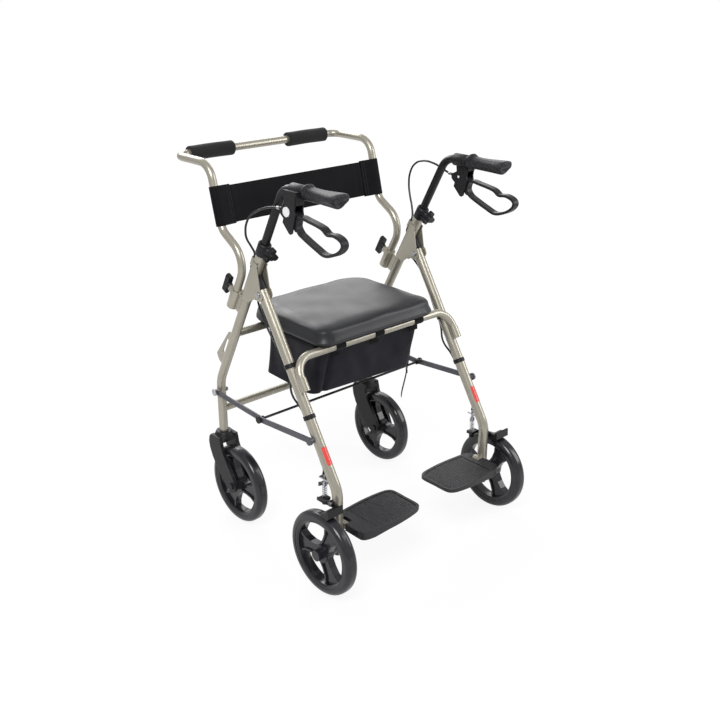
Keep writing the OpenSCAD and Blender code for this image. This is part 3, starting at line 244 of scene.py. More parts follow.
def woven(name, dark, pale, pitch_mm, depth_mm, rough, sheen, axes=("X", "Z")):
    """Plain weave: two sets of threads that cross, with slow shading where the cloth is handled."""
    mat, tree = blank(name)
    place = add(tree, "ShaderNodeTexCoord").outputs["Object"]
    across = add(tree, "ShaderNodeTexWave", {"Vector": place}, {"Scale": band_scale(pitch_mm)},
                 bands_direction=axes[0]).outputs["Fac"]
    along = add(tree, "ShaderNodeTexWave", {"Vector": place}, {"Scale": band_scale(pitch_mm)},
                bands_direction=axes[1]).outputs["Fac"]
    cloth = add(tree, "ShaderNodeMath", {0: across, 1: along}, operation="MULTIPLY").outputs["Value"]
    patch = add(tree, "ShaderNodeTexNoise", {"Vector": place},
                {"Scale": per_mm(HANDLED_MM), "Detail": 4.0}).outputs["Fac"]
    bump = add(tree, "ShaderNodeBump", {"Height": cloth}, {"Strength": 1.0, "Distance": depth_mm * MM})
    skin = add(tree, "ShaderNodeBsdfPrincipled",
               {"Base Color": ramp(tree, patch, linear(dark), linear(pale)),
                "Normal": bump.outputs["Normal"]},
               {"Roughness": rough, "IOR": 1.5, "Specular IOR Level": 0.12, "Sheen Weight": sheen,
                "Sheen Roughness": 0.4})
    add(tree, "ShaderNodeOutputMaterial", {"Surface": skin.outputs["BSDF"]})
    return mat


def pebbled(name, dark, pale, cell_mm, depth_mm, rough, sheen):
    """Skin with a pressed grain of small cells over slow creases, as on vinyl and foam."""
    mat, tree = blank(name)
    place = add(tree, "ShaderNodeTexCoord").outputs["Object"]
    cells = add(tree, "ShaderNodeTexVoronoi", {"Vector": place}, {"Scale": per_mm(cell_mm)},
                feature="DISTANCE_TO_EDGE").outputs["Distance"]
    crease = add(tree, "ShaderNodeTexNoise", {"Vector": place},
                 {"Scale": per_mm(CREASE_MM), "Detail": 3.0}).outputs["Fac"]
    both = add(tree, "ShaderNodeMath", {0: cells, 1: crease}, operation="ADD").outputs["Value"]
    bump = add(tree, "ShaderNodeBump", {"Height": both}, {"Strength": 1.0, "Distance": depth_mm * MM})
    skin = add(tree, "ShaderNodeBsdfPrincipled",
               {"Base Color": ramp(tree, crease, linear(dark), linear(pale)),
                "Roughness": spread(tree, crease, rough[0], rough[1]), "Normal": bump.outputs["Normal"]},
               {"IOR": 1.5, "Sheen Weight": sheen, "Sheen Roughness": 0.5})
    add(tree, "ShaderNodeOutputMaterial", {"Surface": skin.outputs["BSDF"]})
    return mat


def treaded(name, dark, pale, pitch_mm, depth_mm, rough):
    """Moulded plastic with a close grid of small raised lozenges on its level faces."""
    mat, tree = blank(name)
    place = add(tree, "ShaderNodeTexCoord").outputs["Object"]
    turned = add(tree, "ShaderNodeMapping", {"Vector": place},
                 {"Rotation": (0, 0, math.radians(45))}).outputs["Vector"]
    one = add(tree, "ShaderNodeTexWave", {"Vector": turned}, {"Scale": band_scale(pitch_mm)},
              bands_direction="X").outputs["Fac"]
    two = add(tree, "ShaderNodeTexWave", {"Vector": turned}, {"Scale": band_scale(pitch_mm)},
              bands_direction="Y").outputs["Fac"]
    grid = add(tree, "ShaderNodeMath", {0: one, 1: two}, operation="MULTIPLY").outputs["Value"]
    normal = add(tree, "ShaderNodeNewGeometry").outputs["Normal"]
    facing = add(tree, "ShaderNodeSeparateXYZ", {"Vector": normal})
    level = add(tree, "ShaderNodeMapRange", {"Value": facing.outputs["Z"]},
                {"From Min": 0.9, "From Max": 0.98}).outputs["Result"]
    tread = add(tree, "ShaderNodeMath", {0: grid, 1: level}, operation="MULTIPLY").outputs["Value"]
    cloud = add(tree, "ShaderNodeTexNoise", {"Vector": place},
                {"Scale": per_mm(SCUFF_MM), "Detail": 3.0}).outputs["Fac"]
    height = add(tree, "ShaderNodeMath", {0: cloud, 2: tread}, {1: 0.35},
                 operation="MULTIPLY_ADD").outputs["Value"]
    bump = add(tree, "ShaderNodeBump", {"Height": height}, {"Strength": 1.0, "Distance": depth_mm * MM})
    skin = add(tree, "ShaderNodeBsdfPrincipled",
               {"Base Color": ramp(tree, cloud, linear(dark), linear(pale)),
                "Roughness": spread(tree, cloud, rough[0], rough[1]), "Normal": bump.outputs["Normal"]},
               {"IOR": 1.5})
    add(tree, "ShaderNodeOutputMaterial", {"Surface": skin.outputs["BSDF"]})
    return mat


def prism_film(name):
    """Retroreflective red film: small bright cells in a clear glossy face."""
    mat, tree = blank(name)
    place = add(tree, "ShaderNodeTexCoord").outputs["Object"]
    cells = add(tree, "ShaderNodeTexVoronoi", {"Vector": place}, {"Scale": per_mm(PRISM_MM)},
                feature="DISTANCE_TO_EDGE").outputs["Distance"]
    bump = add(tree, "ShaderNodeBump", {"Height": cells}, {"Strength": 0.4, "Distance": 0.2 * MM})
    skin = add(tree, "ShaderNodeBsdfPrincipled",
               {"Base Color": ramp(tree, cells, linear("#D63A32"), linear("#F0554A"), 0.02, 0.25),
                "Normal": bump.outputs["Normal"]}, {"Roughness": 0.3, "IOR": 1.5, "Coat Weight": 0.4})
    add(tree, "ShaderNodeOutputMaterial", {"Surface": skin.outputs["BSDF"]})
    return mat


# Aluminium tube sprayed with champagne metallic paint: a soft sheen with fine flake
champagne = moulded("champagne_metallic_paint", "#A8A395", "#AFAA9C", 60, (0.28, 0.32), 3.0, 0.005,
                    **{"Metallic": 0.58, "Coat Weight": 0.25, "Coat Roughness": 0.12})
# Steel tube with black powder coat: low orange-peel
black_coat = moulded("black_powder_coat", "#0D0D0F", "#151518", 25, (0.3, 0.4), 1.6, 0.02,
                     **{"Specular IOR Level": 0.35})
# Flat steel bar with grey hammered paint
grey_coat = moulded("grey_brace_paint", "#4C4C53", "#5E5E66", 22, (0.34, 0.44), 1.8, 0.03,
                    **{"Metallic": 0.35})
# Zinc plated steel: bright, slightly cloudy
zinc = moulded("zinc_plated_steel", "#A5A5A9", "#C6C6C9", 6, (0.24, 0.36), 0.7, 0.006, **{"Metallic": 1.0})
# Glass-filled nylon mouldings: black with a pebbled skin, and pale flecks painted in as its highlights
nylon_mould = speckled_with_painted_glints("nylon_moulding_with_painted_glints", "#0C0C0E", "#2A2A2E", 1.8, (0.36, 0.5), 0.10)
# Lever bands: the same nylon, polished by the hand, with the same painted highlights
lever_mould = speckled_with_painted_glints("lever_nylon_moulding", "#101012", "#303035", 1.8, (0.3, 0.42), 0.05)
# Footplates: textured polypropylene, paler where it scuffs
foot_mould = treaded("footplate_polypropylene", "#121215", "#222226", 3.2, 0.35, (0.38, 0.5))
# Tread mats: the same polypropylene, with slow paler patches
tread_mould = moulded("tread_mat_polypropylene", "#17171A", "#252529", 9, (0.36, 0.46), 2.0, 0.03)
# Wheels: glossy moulded polypropylene
wheel_mould = moulded("glossy_wheel_polypropylene", "#1C1C21", "#242429", 40, (0.16, 0.24), 3.0, 0.01)
# Tyres: black polyurethane, a skin gloss that the tread has lost in patches
tyre_pu = moulded("tyre_polyurethane", "#1E1E22", "#28282D", 14, (0.15, 0.22), 1.6, 0.02)
# Lever pivot covers: smooth white styrene
white_cap = moulded("white_styrene_cover", "#EDEDEE", "#F6F6F6", 12, (0.3, 0.38), 1.0, 0.004)
red_film = prism_film("red_prismatic_film")
# Cable outer: smooth black PVC
jacket = moulded("black_cable_jacket", "#09090A", "#121214", 20, (0.28, 0.38), 1.5, 0.01)
# Hand grips: moulded thermoplastic rubber with a fine matt grain, and pale flecks painted in as its
# highlights
grip_skin = speckled_with_painted_glints("grip_rubber_skin", "#161619", "#3C3C42", 2.4, (0.38, 0.5), 0.11)
# Push bar sleeves: cut foam, open pores
foam_skin = pebbled("open_pore_foam", "#0A0A0B", "#131315", 1.8, 0.25, (0.85, 0.95), 0.1)
# Seat cover: soft grained vinyl with a low gloss
vinyl = pebbled("grained_seat_vinyl", "#121318", "#191A20", 2.6, 0.06, (0.36, 0.44), 0.1)
vinyl_welt = pebbled("seat_welt_vinyl", "#1D1D20", "#27272B", 2.0, 0.05, (0.36, 0.44), 0.0)
# Bag: coated nylon, plain weave drawn coarse enough to show
bag_cloth = woven("bag_nylon_weave", "#18181F", "#25252D", 2.4, 0.10, 0.5, 0.05)
bag_tape = woven("bag_binding_tape", "#0B0B0D", "#131316", 2.0, 0.12, 0.6, 0.04)
# Strap of the backrest: close weave, matt
sling_cloth = woven("sling_nylon_weave", "#07070A", "#0E0E11", 2.2, 0.08, 0.62, 0.03)
# Webbing: ribs across the tape
webbing = woven("ribbed_webbing", "#0D0D10", "#17171A", 1.8, 0.16, 0.6, 0.05)
thread = moulded("seam_thread", "#1C1C1F", "#28282C", 5, (0.6, 0.7), 0.8, 0.03)


# Floor and surroundings: white to the eye, with the chair's own shadow

# Share of the surround's white that a glossy face shows
GLOSS_SHARE = 0.4


def plain_sight(tree):
    """1 for rays from the eye, and a share of it for those that gloss or glass sends on."""
    path = add(tree, "ShaderNodeLightPath")
    gloss = add(tree, "ShaderNodeMath",
                {0: path.outputs["Is Glossy Ray"], 1: path.outputs["Is Transmission Ray"]},
                operation="MAXIMUM").outputs["Value"]
    part = add(tree, "ShaderNodeMath", {0: gloss}, {1: GLOSS_SHARE}, operation="MULTIPLY").outputs["Value"]
    return add(tree, "ShaderNodeMath", {0: path.outputs["Is Camera Ray"], 1: part},
               operation="MAXIMUM").outputs["Value"]


def pale_floor():
    mat, tree = blank("pale_floor_paper")
    place = add(tree, "ShaderNodeTexCoord").outputs["Object"]
    away = add(tree, "ShaderNodeVectorMath", {0: place}, operation="LENGTH").outputs["Value"]
    # White paper that glows more towards its far edge, so that no horizon shows
    share = add(tree, "ShaderNodeMapRange", {"Value": away},
                {"From Min": 0.5, "From Max": 1.6, "To Min": 0.85, "To Max": 1.0}).outputs["Result"]
    seen = add(tree, "ShaderNodeMath", {0: plain_sight(tree), 1: share},
               operation="MULTIPLY").outputs["Value"]
    paper = add(tree, "ShaderNodeBsdfDiffuse", values={"Color": (0.8, 0.8, 0.8, 1)})
    glow = add(tree, "ShaderNodeEmission", values={"Color": (1, 1, 1, 1), "Strength": 1.04})
    mixed = add(tree, "ShaderNodeMixShader", {0: seen, 1: paper.outputs["BSDF"], 2: glow.outputs["Emission"]})
    add(tree, "ShaderNodeOutputMaterial", {"Surface": mixed.outputs["Shader"]})
    return mat


bpy.ops.object.select_all(action="DESELECT")
bpy.ops.mesh.primitive_plane_add(size=40, location=(0, 0, 0))
floor = bpy.context.object
floor.name = "studio_floor"
floor.data.materials.append(pale_floor())

world = bpy.data.worlds.new("studio_surround")
bpy.context.scene.world = world
world.use_nodes = True
world.node_tree.nodes.clear()
level = add(world.node_tree, "ShaderNodeMapRange", {"Value": plain_sight(world.node_tree)},
            {"To Min": 0.34, "To Max": 1.0}).outputs["Result"]
sky = add(world.node_tree, "ShaderNodeBackground", {"Strength": level}, {"Color": (1, 1, 1, 1)})
add(world.node_tree, "ShaderNodeOutputWorld", {"Surface": sky.outputs["Background"]})


# Materials of the frame's own pieces

FINISHES = {
    champagne: ["main_tube_", "front_leg_", "lower_cross_tube", "upper_cross_tube", "frame_lugs",
                "hinge_brackets", "back_sockets", "seat_bar", "push_bar"],
    black_coat: ["handle_tube_", "brake_shoe_"],
    grey_coat: ["brace_rear_bars", "brace_front_bars"],
    zinc: ["frame_bolts", "leg_bolts", "brake_adjusters"],
    nylon_mould: ["height_collars", "leg_plugs", "cable_clips", "brake_housing_", "caster_fork_",
                  "star_knob_", "back_knob_", "seat_board", "brace_rod"],
    lever_mould: ["brake_lever_"],
    foot_mould: ["footplate_"],
    wheel_mould: ["caster_wheel_", "brake_wheel_"],
    tyre_pu: ["caster_tyre_", "brake_tyre_"],
    white_cap: ["lever_cap_"],
    red_film: ["reflectors"],
}
# Edge rounding in millimetres of pieces that are moulded, cast or pressed
ROUNDED = {"caster_fork_": 1.6, "brake_lever_": 0.9, "brake_housing_": 0.8, "footplate_": 1.4,
           "star_knob_": 1.4, "back_knob_": 1.6, "height_collars": 0.8, "caster_wheel_": 0.7,
           "brake_wheel_": 0.7, "brace_rear_bars": 0.5, "brace_front_bars": 0.5, "hinge_brackets": 0.4,
           "frame_lugs": 0.4, "back_sockets": 0.5, "brake_shoe_": 0.6, "lever_cap_": 0.5, "seat_board": 0.8,
           "frame_bolts": 0.4, "leg_bolts": 0.5, "leg_plugs": 0.5}


def nodes_named(start):
    """Frame pieces of that name, or of both sides where the name ends in an underscore."""
    if start.endswith("_"):
        return [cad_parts[start + side] for side, _ in SIDES]
    return [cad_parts[start]]


for finish, names in FINISHES.items():
    for name in names:
        for piece in nodes_named(name):
            piece.data.materials.clear()
            piece.data.materials.append(finish)
for name, radius in ROUNDED.items():
    for piece in nodes_named(name):
        weld = piece.modifiers.new("joined", "WELD")
        weld.merge_threshold = 0.00002
        edge = piece.modifiers.new("rounded", "BEVEL")
        edge.width = radius * MM
        edge.segments = 2
        edge.limit_method = "ANGLE"
        edge.angle_limit = math.radians(38)
        edge.harden_normals = False


# Modelling helpers

def start_clean():
    if bpy.context.mode != "OBJECT":
        bpy.ops.object.mode_set(mode="OBJECT")
    bpy.ops.object.select_all(action="DESELECT")


def pick(piece):
    """Make a piece the active one and the only one selected."""
    start_clean()
    bpy.context.view_layer.objects.active = piece
    piece.select_set(True)


def own(name):
    """The object just added, renamed, with its place moved into its mesh."""
    piece = bpy.context.object
    piece.name = name
    piece.data.name = name
    bpy.ops.object.transform_apply(location=True, rotation=True, scale=True)
    return piece


def patch(name, nx, ny, place):
    """Sheet of nx by ny faces whose points go where place(u, v) says, u and v from 0 to 1."""
    start_clean()
    bpy.ops.mesh.primitive_grid_add(x_subdivisions=nx, y_subdivisions=ny, size=2)
    piece = own(name)
    for point in piece.data.vertices:
        point.co = place((point.co.x + 1) / 2, (point.co.y + 1) / 2)
    return piece


def tidy(piece, close_ends=True):
    """Merge the seam, close the ends, and turn all faces outwards."""
    pick(piece)
    bpy.ops.object.mode_set(mode="EDIT")
    bpy.ops.mesh.select_all(action="SELECT")
    bpy.ops.mesh.remove_doubles(threshold=0.00001)
    if close_ends:
        bpy.ops.mesh.fill_holes(sides=0)
    bpy.ops.mesh.select_all(action="SELECT")
    bpy.ops.mesh.normals_make_consistent(inside=False)
    bpy.ops.object.mode_set(mode="OBJECT")


def soften(piece, angle=40):
    pick(piece)
    bpy.ops.object.shade_smooth_by_angle(angle=math.radians(angle))


def picked_edges(piece, test):
    """Select, in edit mode, the edges whose two ends pass a test."""
    bpy.ops.mesh.select_all(action="DESELECT")
    bpy.ops.mesh.select_mode(type="EDGE")
    bpy.ops.object.mode_set(mode="OBJECT")
    for edge in piece.data.edges:
        a, b = (piece.data.vertices[i].co for i in edge.vertices)
        edge.select = test(a, b)
    bpy.ops.object.mode_set(mode="EDIT")


def thicken(piece, thickness, offset=0.0):
    wall = piece.modifiers.new("cloth", "SOLIDIFY")
    wall.thickness = thickness
    wall.offset = offset


def subdivide_surface(piece, levels):
    mod = piece.modifiers.new("smooth", "SUBSURF")
    mod.levels = levels
    mod.render_levels = levels


def dress(piece, finish, body, slot, *nodes):
    """Give a finished piece its material and its body, and hide the solids that it stands for. Its slot is
    not used.
    """
    piece.data.materials.clear()
    piece.data.materials.append(finish)
    if body:
        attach(piece, body)
    if nodes:
        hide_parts(*nodes)


def curve_along(name, points, diameter, sides=3):
    """Round cord along points, as one open spline."""
    data = bpy.data.curves.new(name, "CURVE")
    data.dimensions = "3D"
    data.bevel_depth = diameter / 2
    data.bevel_resolution = sides
    data.resolution_u = 6
    data.use_fill_caps = True
    spline = data.splines.new("BEZIER")
    spline.bezier_points.add(len(points) - 1)
    for point, at in zip(spline.bezier_points, points):
        point.co = at
        point.handle_left_type = "AUTO"
        point.handle_right_type = "AUTO"
    piece = bpy.data.objects.new(name, data)
    bpy.context.scene.collection.objects.link(piece)
    return piece


def centreline(piece):
    """Points along a cord's middle, from a copy with no thickness."""
    bare = piece.data.copy()
    bare.bevel_depth = 0
    probe = bpy.data.objects.new("probe", bare)
    bpy.context.scene.collection.objects.link(probe)
    points = [v.co.copy() for v in probe.to_mesh().vertices]
    probe.to_mesh_clear()
    bpy.data.objects.remove(probe)
    return points


def as_mesh(piece):
    pick(piece)
    bpy.ops.object.convert(target="MESH")
    piece = bpy.context.object
    soften(piece, 60)
    return piece


# Brake cables, from each lever housing to the eye behind the upper tube, and from there down each front leg

EYE_N = 18.75
EYE_T = 361
# Across, along and up from the handle's bend, in millimetres
UPPER_ROUTES = {
    "left": [(15, -9, -40), (15, -3, -40), (15.5, 14, -41.5), (17, 40, -47), (18.5, 66, -57), (19.8, 90, -71),
             (20, 106, -89), (19, 114, -110), (14.5, 117, -129), (7, 113, -146)],
    "right": [(15, -9, -40), (15, -3, -40), (15.3, 12, -37), (16, 30, -31), (17.5, 60, -24), (19, 94, -24),
              (20.5, 124, -36), (21, 140, -60), (18.5, 141, -88), (13, 131, -114), (6.5, 117, -138)],
}
UPPER_END = [(0.8, EYE_N + 1.6, EYE_T + 29), (0, EYE_N, EYE_T + 18), (0, EYE_N, EYE_T + 4)]
# Beside the upper tube, then beside the front leg: across, behind and up, in millimetres.
# Both cables pass the hinge on the side that faces +X.
TUBE_ROUTE = [(0, EYE_N, EYE_T + 0.5), (0, EYE_N + 0.4, EYE_T - 9), (-7, EYE_N + 1.1, EYE_T - 23),
              (-15, EYE_N - 3.4, EYE_T - 39), (-18.2, 3, EYE_T - 55), (-18.2, -8, EYE_T - 75)]
LEG_START = {
    "left": [(-17.5, 56.5, -7.5), (-9, 46, -32), (-1, 34, -62), (2, 24.5, -100)],
    "right": [(19, 44, -6), (15, 30, -36), (9, 21.5, -80), (3, 18, -120)],
}
LEG_ROUTE = [(0, 16, -152), (0, 15.1, -170), (0, 17.1, -192),
             (0, 22.1, -230), (0, 17.1, -268), (0, 15.1, -290), (0.6, 15.2, -330.8), (1.2, 15.2, -372.4),
             (2, 15.2, -392.4), (2.5, 15.25, -408.4), (2, 19.25, -418.8)]
SLACK_LEAN = 7


def on_side(points, k):
    return [Vector((k * p.x, p.y, p.z)) for p in points]


def brake_cable(name, route, node):
    """Cable along the route, made a mesh in its jacket, standing in for the given solids."""
    run = curve_along(name, route, CABLE_D)
    path = centreline(run)
    run = as_mesh(run)
    dress(run, jacket, None, "cable_jacket", *node)
    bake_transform(run)


for side, k in SIDES:
    upper = [Vector((FRAME_X + x * MM, HAND_Y + y * MM, HAND_Z + z * MM)) for x, y, z in UPPER_ROUTES[side]]
    upper += [along_tube(FRAME_X + x * MM, n * MM, t * MM) for x, n, t in UPPER_END]
    brake_cable("upper_cable_loop_" + side, on_side(upper, k),
                ["upper_cable_" + side])
    lower = [along_tube(FRAME_X - k * x * MM, n * MM, t * MM) for x, n, t in TUBE_ROUTE]
    lower += [along_leg(FRAME_X + x * MM, y * MM, z * MM) for x, y, z in LEG_START[side]]
    # The slack stretch between the bands leans to -X
    for x, behind, up in LEG_ROUTE:
        lean = SLACK_LEAN * smooth((behind - 16) / 6)
        lower.append(along_leg(FRAME_X + (x - k * lean) * MM, behind * MM, up * MM))
    brake_cable("leg_cable_run_" + side, on_side(lower, k),
                ["leg_cables"] if k < 0 else [])
    # Bright ferrule where the cable leaves the lever housing
    start_clean()
    bpy.ops.mesh.primitive_cylinder_add(vertices=32, radius=FERRULE_D / 2, depth=FERRULE_L,
                                        rotation=(math.pi / 2, 0, 0),
                                        location=(k * (FRAME_X + FERRULE_X), HAND_Y - 0.001,
                                                  HAND_Z - FERRULE_DROP))
    ferrule = own("cable_ferrule_" + side)
    bpy.ops.object.mode_set(mode="EDIT")
    picked_edges(ferrule, lambda a, b: abs(a.y - b.y) < 0.001)
    bpy.ops.mesh.bevel(offset=0.0008, segments=2, affect="EDGES")
    bpy.ops.object.mode_set(mode="OBJECT")
    soften(ferrule, 35)
    dress(ferrule, zinc, "handle_" + side, "steel")

# Return springs of the brake shoes, an even coil of six turns

SPRING_D = 0.010
SPRING_WIRE = 0.0014
SPRING_LOW = 0.2085
SPRING_HIGH = 0.2375
SPRING_TURNS = 6
SPRING_X = 0.245
SPRING_Y = -0.2015
TURN_POINTS = 16
for side, k in SIDES:
    coil = []
    rise = SPRING_HIGH - SPRING_LOW - SPRING_WIRE
    for i in range(TURN_POINTS * SPRING_TURNS + 1):
        turn = 2 * math.pi * i / TURN_POINTS
        coil.append((k * (SPRING_X + SPRING_D / 2 * math.cos(turn)), SPRING_Y + SPRING_D / 2 * math.sin(turn),
                     SPRING_LOW + SPRING_WIRE / 2 + rise * i / (TURN_POINTS * SPRING_TURNS)))
    spring = curve_along("return_spring_" + side, coil, SPRING_WIRE, 2)
    spring.data.resolution_u = 2
    spring = as_mesh(spring)
    dress(spring, zinc, "front_frame", "steel")
    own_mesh(spring)
    if k < 0:
        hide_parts("brake_springs")


# Hand grips: round root with a thumb hump, spreading into a palm wing with a blunt oval end

GRIP_START = HAND_Y - 0.07035
GRIP_SIDES = 40
# Station, half width, rise above the axis and drop below it, in millimetres
GRIP_STATIONS = [(0, 12.2, 12.4, 12.2), (0.8, 13.8, 14.2, 13.8), (3, 14.6, 15, 14.6), (7, 14.6, 18, 14.6),
                 (12, 14.2, 19.5, 14.4), (18, 14, 16.5, 14.2), (24, 14.2, 14, 14.2), (40, 15, 13.2, 14.4),
                 (60, 17.5, 13.4, 14.8), (80, 20.5, 14.2, 15.2), (98, 23, 15.2, 15.6),
                 (110, 23.5, 15.8, 15.6), (115, 22.6, 15.2, 15), (117.4, 20, 13.4, 13), (118, 17, 11, 10.5),
                 (117.2, 13, 8, 7.6), (116.9, 6, 4, 3.8)]


def station_at(t):
    """Grip section at t from 0 to 1 along the stations, on a smooth curve through them."""
    spot = t * (len(GRIP_STATIONS) - 1)
    i = min(int(spot), len(GRIP_STATIONS) - 2)
    f = spot - i
    rows = [GRIP_STATIONS[min(max(i + d, 0), len(GRIP_STATIONS) - 1)] for d in (-1, 0, 1, 2)]
    return [0.5 * (2 * b + (c - a) * f + (2 * a - 5 * b + 4 * c - d) * f * f
                   + (3 * b - a - 3 * c + d) * f ** 3) for a, b, c, d in zip(*rows)]


def grip_point(u, v, k):
    along, wide, rise, drop = station_at(v)
    turn = 2 * math.pi * u
    c = math.cos(turn)
    s = math.sin(turn)
    # The wing is squarer above than below
    power = 0.55 if s > 0 else 1.0
    width = wide if s > 0 else wide - max(0.0, wide - 14) * min(1, -2 * s)
    x = math.copysign(abs(c) ** power, c) * width
    z = s ** 0.8 * rise if s > 0 else s * drop
    # The end face leans, so that the wing overhangs
    along = along * 113 / 118 - 9 * (0.5 - 0.5 * s) * smooth((along - 80) / 34)
    return (k * (FRAME_X + x * MM), GRIP_START - along * MM, HAND_Z + z * MM)


for side, k in SIDES:
    grip = patch("palm_grip_" + side, GRIP_SIDES, 64, lambda u, v: grip_point(u, v, k))
    tidy(grip)
    subdivide_surface(grip, 1)
    soften(grip, 50)
    dress(grip, grip_skin, "handle_" + side, "grip_rubber", "grip_" + side)


# Ribbed mats in the sunk treads of the footplates

FOOT_AXIS_X = 0.222
FOOT_MID_Y = -0.261
TREAD_Z = 0.1548
RIB_PITCH = 0.0047
# Distance from the hinge pin and half width of the mat, in metres
MAT_EDGE = [(0.0370, 0.0470), (0.0480, 0.0488), (0.0900, 0.0510), (0.1300, 0.0498), (0.1480, 0.0462),
            (0.1575, 0.0410), (0.1630, 0.0330)]
MAT_END = 0.164
RIB_HIGH = 0.0008


for side, k in SIDES:
    def mat_point(u, v):
        out, half = between(MAT_EDGE, u)
        y = (2 * v - 1) * half
        rib = 0.5 + 0.5 * math.cos(2 * math.pi * y / RIB_PITCH)
        rim = min(1.0, (half - abs(y)) / 0.001, (MAT_END - out) / 0.002)
        return (k * (FOOT_AXIS_X - out), FOOT_MID_Y + y,
                TREAD_Z + 0.0001 + RIB_HIGH * rib ** 2 * max(0.0, rim))

    mat = patch("tread_mat_" + side, 48, 220, mat_point)
    tidy(mat, close_ends=False)
    soften(mat, 60)
    dress(mat, tread_mould, "foot_" + side, "black_plastic")


# Foam sleeves on the push bar: soft cut ends, a little squeezed where they are held

PUSH_Y = 0.323778
PUSH_Z = 0.89104
FOAM_START = 0.084
FOAM_L = 0.124


def foam_profile(v):
    """Distance along the sleeve and radius, from the bore at one end to the bore at the other."""
    ends = [(0.0015, 9.6), (0.0004, 12.5), (0.0, 15.4), (0.0008, 17.2), (0.0026, 18.0), (0.006, 18.0)]
    row = ends + [(0.0175 * i, 17.8) for i in range(1, 7)] + [(FOAM_L - a, r) for a, r in reversed(ends)]
    return between(row, v)


for side, k in SIDES:
    def foam_point(u, v):
        along, radius = foam_profile(v)
        turn = 2 * math.pi * u
        pinch = 0.35 * math.sin(3 * turn + 60 * along) * smooth((radius - 10) / 6)
        r = (radius + pinch - 0.35) * MM
        return (k * (FOAM_START + along), PUSH_Y + r * math.cos(turn), PUSH_Z + r * math.sin(turn))

    sleeve = patch("foam_sleeve_" + side, 40, 34, foam_point)
    tidy(sleeve, close_ends=False)
    subdivide_surface(sleeve, 1)
    soften(sleeve, 60)
    dress(sleeve, foam_skin, "backrest", "foam")
    if k < 0:
        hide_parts("foam_grips")


# Back strap: a stretched band with sewn sleeves round both backrest tubes

HEEL = Vector((0, 0.150160, 0.748586))
SLING_LEAN = math.radians(14.3)
SLING_UP = Vector((0, math.sin(SLING_LEAN), math.cos(SLING_LEAN)))
SLING_BACK = Vector((0, math.cos(SLING_LEAN), -math.sin(SLING_LEAN)))
SLING_LOW = 0.0085
SLING_H = 0.088
SLING_SAG = 0.009
SEAM_X = 0.200
BAND_HALF = 0.214
BAND_T = 0.0024
SLEEVE_R = 0.0112
SLEEVE_T = 0.0012
# Distance of a sleeve's ply from the middle of the band
PLY = 0.0021


def sling_point(x, depth, height):
    return HEEL + Vector((x, 0, 0)) + SLING_BACK * depth + SLING_UP * (SLING_LOW + height)


def band_depth(x):
    return SLING_SAG * (1 - (x / FRAME_X) ** 2)


def band_point(u, v):
    x = BAND_HALF * (2 * u - 1)
    # Upright gathers near the sewn sleeves, and hems that curl a little
    gather = 0.0005 * math.sin(x * 310 + 40 * x * x) * smooth((abs(x) - 0.15) / 0.05)
    hem = 0.0006 * math.cos(2 * math.pi * v)
    return sling_point(x, band_depth(x) + gather + hem, 0.0015 + (SLING_H - 0.003) * v)


band = patch("back_strap_band", 120, 20, band_point)
thicken(band, BAND_T)
subdivide_surface(band, 1)
soften(band, 50)
dress(band, sling_cloth, "backrest", "sling_nylon", "back_sling")
for side, k in SIDES:
    def sleeve_point(u, v):
        # Wraps from the front seam, round the tube, to the rear seam
        if u < 0.3:
            x = SEAM_X + (FRAME_X - 0.004 - SEAM_X) * (u / 0.3)
            ease = smooth((x - SEAM_X) / (FRAME_X - SEAM_X))
            depth = band_depth(SEAM_X) * (1 - ease) - PLY - (SLEEVE_R - PLY) * ease
        elif u > 0.7:
            x = SEAM_X + (FRAME_X - 0.004 - SEAM_X) * ((1 - u) / 0.3)
            ease = smooth((x - SEAM_X) / (FRAME_X - SEAM_X))
            depth = band_depth(SEAM_X) * (1 - ease) + PLY + (SLEEVE_R - PLY) * ease
        else:
            turn = math.radians(-100 + 200 * (u - 0.3) / 0.4)
            x = FRAME_X + SLEEVE_R * math.cos(turn)
            depth = SLEEVE_R * math.sin(turn)
        pucker = 0.0005 * math.sin(v * 26 + k) * smooth((0.235 - x) / 0.03)
        return sling_point(k * x, depth + pucker, -0.001 + (SLING_H + 0.002) * v)

    sleeve = patch("back_strap_sleeve_" + side, 56, 20, sleeve_point)
    thicken(sleeve, SLEEVE_T)
    subdivide_surface(sleeve, 1)
    tidy(sleeve, close_ends=False)
    soften(sleeve, 50)
    dress(sleeve, sling_cloth, "backrest", "sling_nylon")


STITCHES = 21
STITCH_PITCH = 0.004
STITCH_L = 0.0031
STITCH_W = 0.0009
STITCH_LIFT = 0.0007


def stitch_row(name, points, outward):
    """Row of stitches on the strap, each a short thread that dips into the cloth at both ends."""
    start_clean()
    bpy.ops.mesh.primitive_cube_add(size=1)
    thread_one = own(name)
    bpy.ops.object.mode_set(mode="EDIT")
    bpy.ops.mesh.select_all(action="SELECT")
    bpy.ops.mesh.bevel(offset=0.28, segments=2, affect="EDGES")
    bpy.ops.object.mode_set(mode="OBJECT")
    seed = [v.co.copy() for v in thread_one.data.vertices]
    faces = [tuple(p.vertices) for p in thread_one.data.polygons]
    verts = []
    polys = []
    for a, b in zip(points[:-1], points[1:]):
        run = (b - a).normalized()
        cross = run.cross(outward).normalized()
        mid = (a + b) / 2
        base = len(verts)
        for c in seed:
            lift = STITCH_W * (0.5 - 1.6 * c.x * c.x)
            verts.append(mid + run * (c.x * STITCH_L) + cross * (c.y * STITCH_W)
                         + outward * (c.z * STITCH_W * 0.6 + lift))
        polys += [tuple(i + base for i in f) for f in faces]
    mesh = bpy.data.meshes.new(name)
    mesh.from_pydata([tuple(v) for v in verts], [], polys)
    old = thread_one.data
    thread_one.data = mesh
    bpy.data.meshes.remove(old)
    tidy(thread_one, close_ends=False)
    soften(thread_one, 60)
    dress(thread_one, thread, "backrest", "sling_nylon")


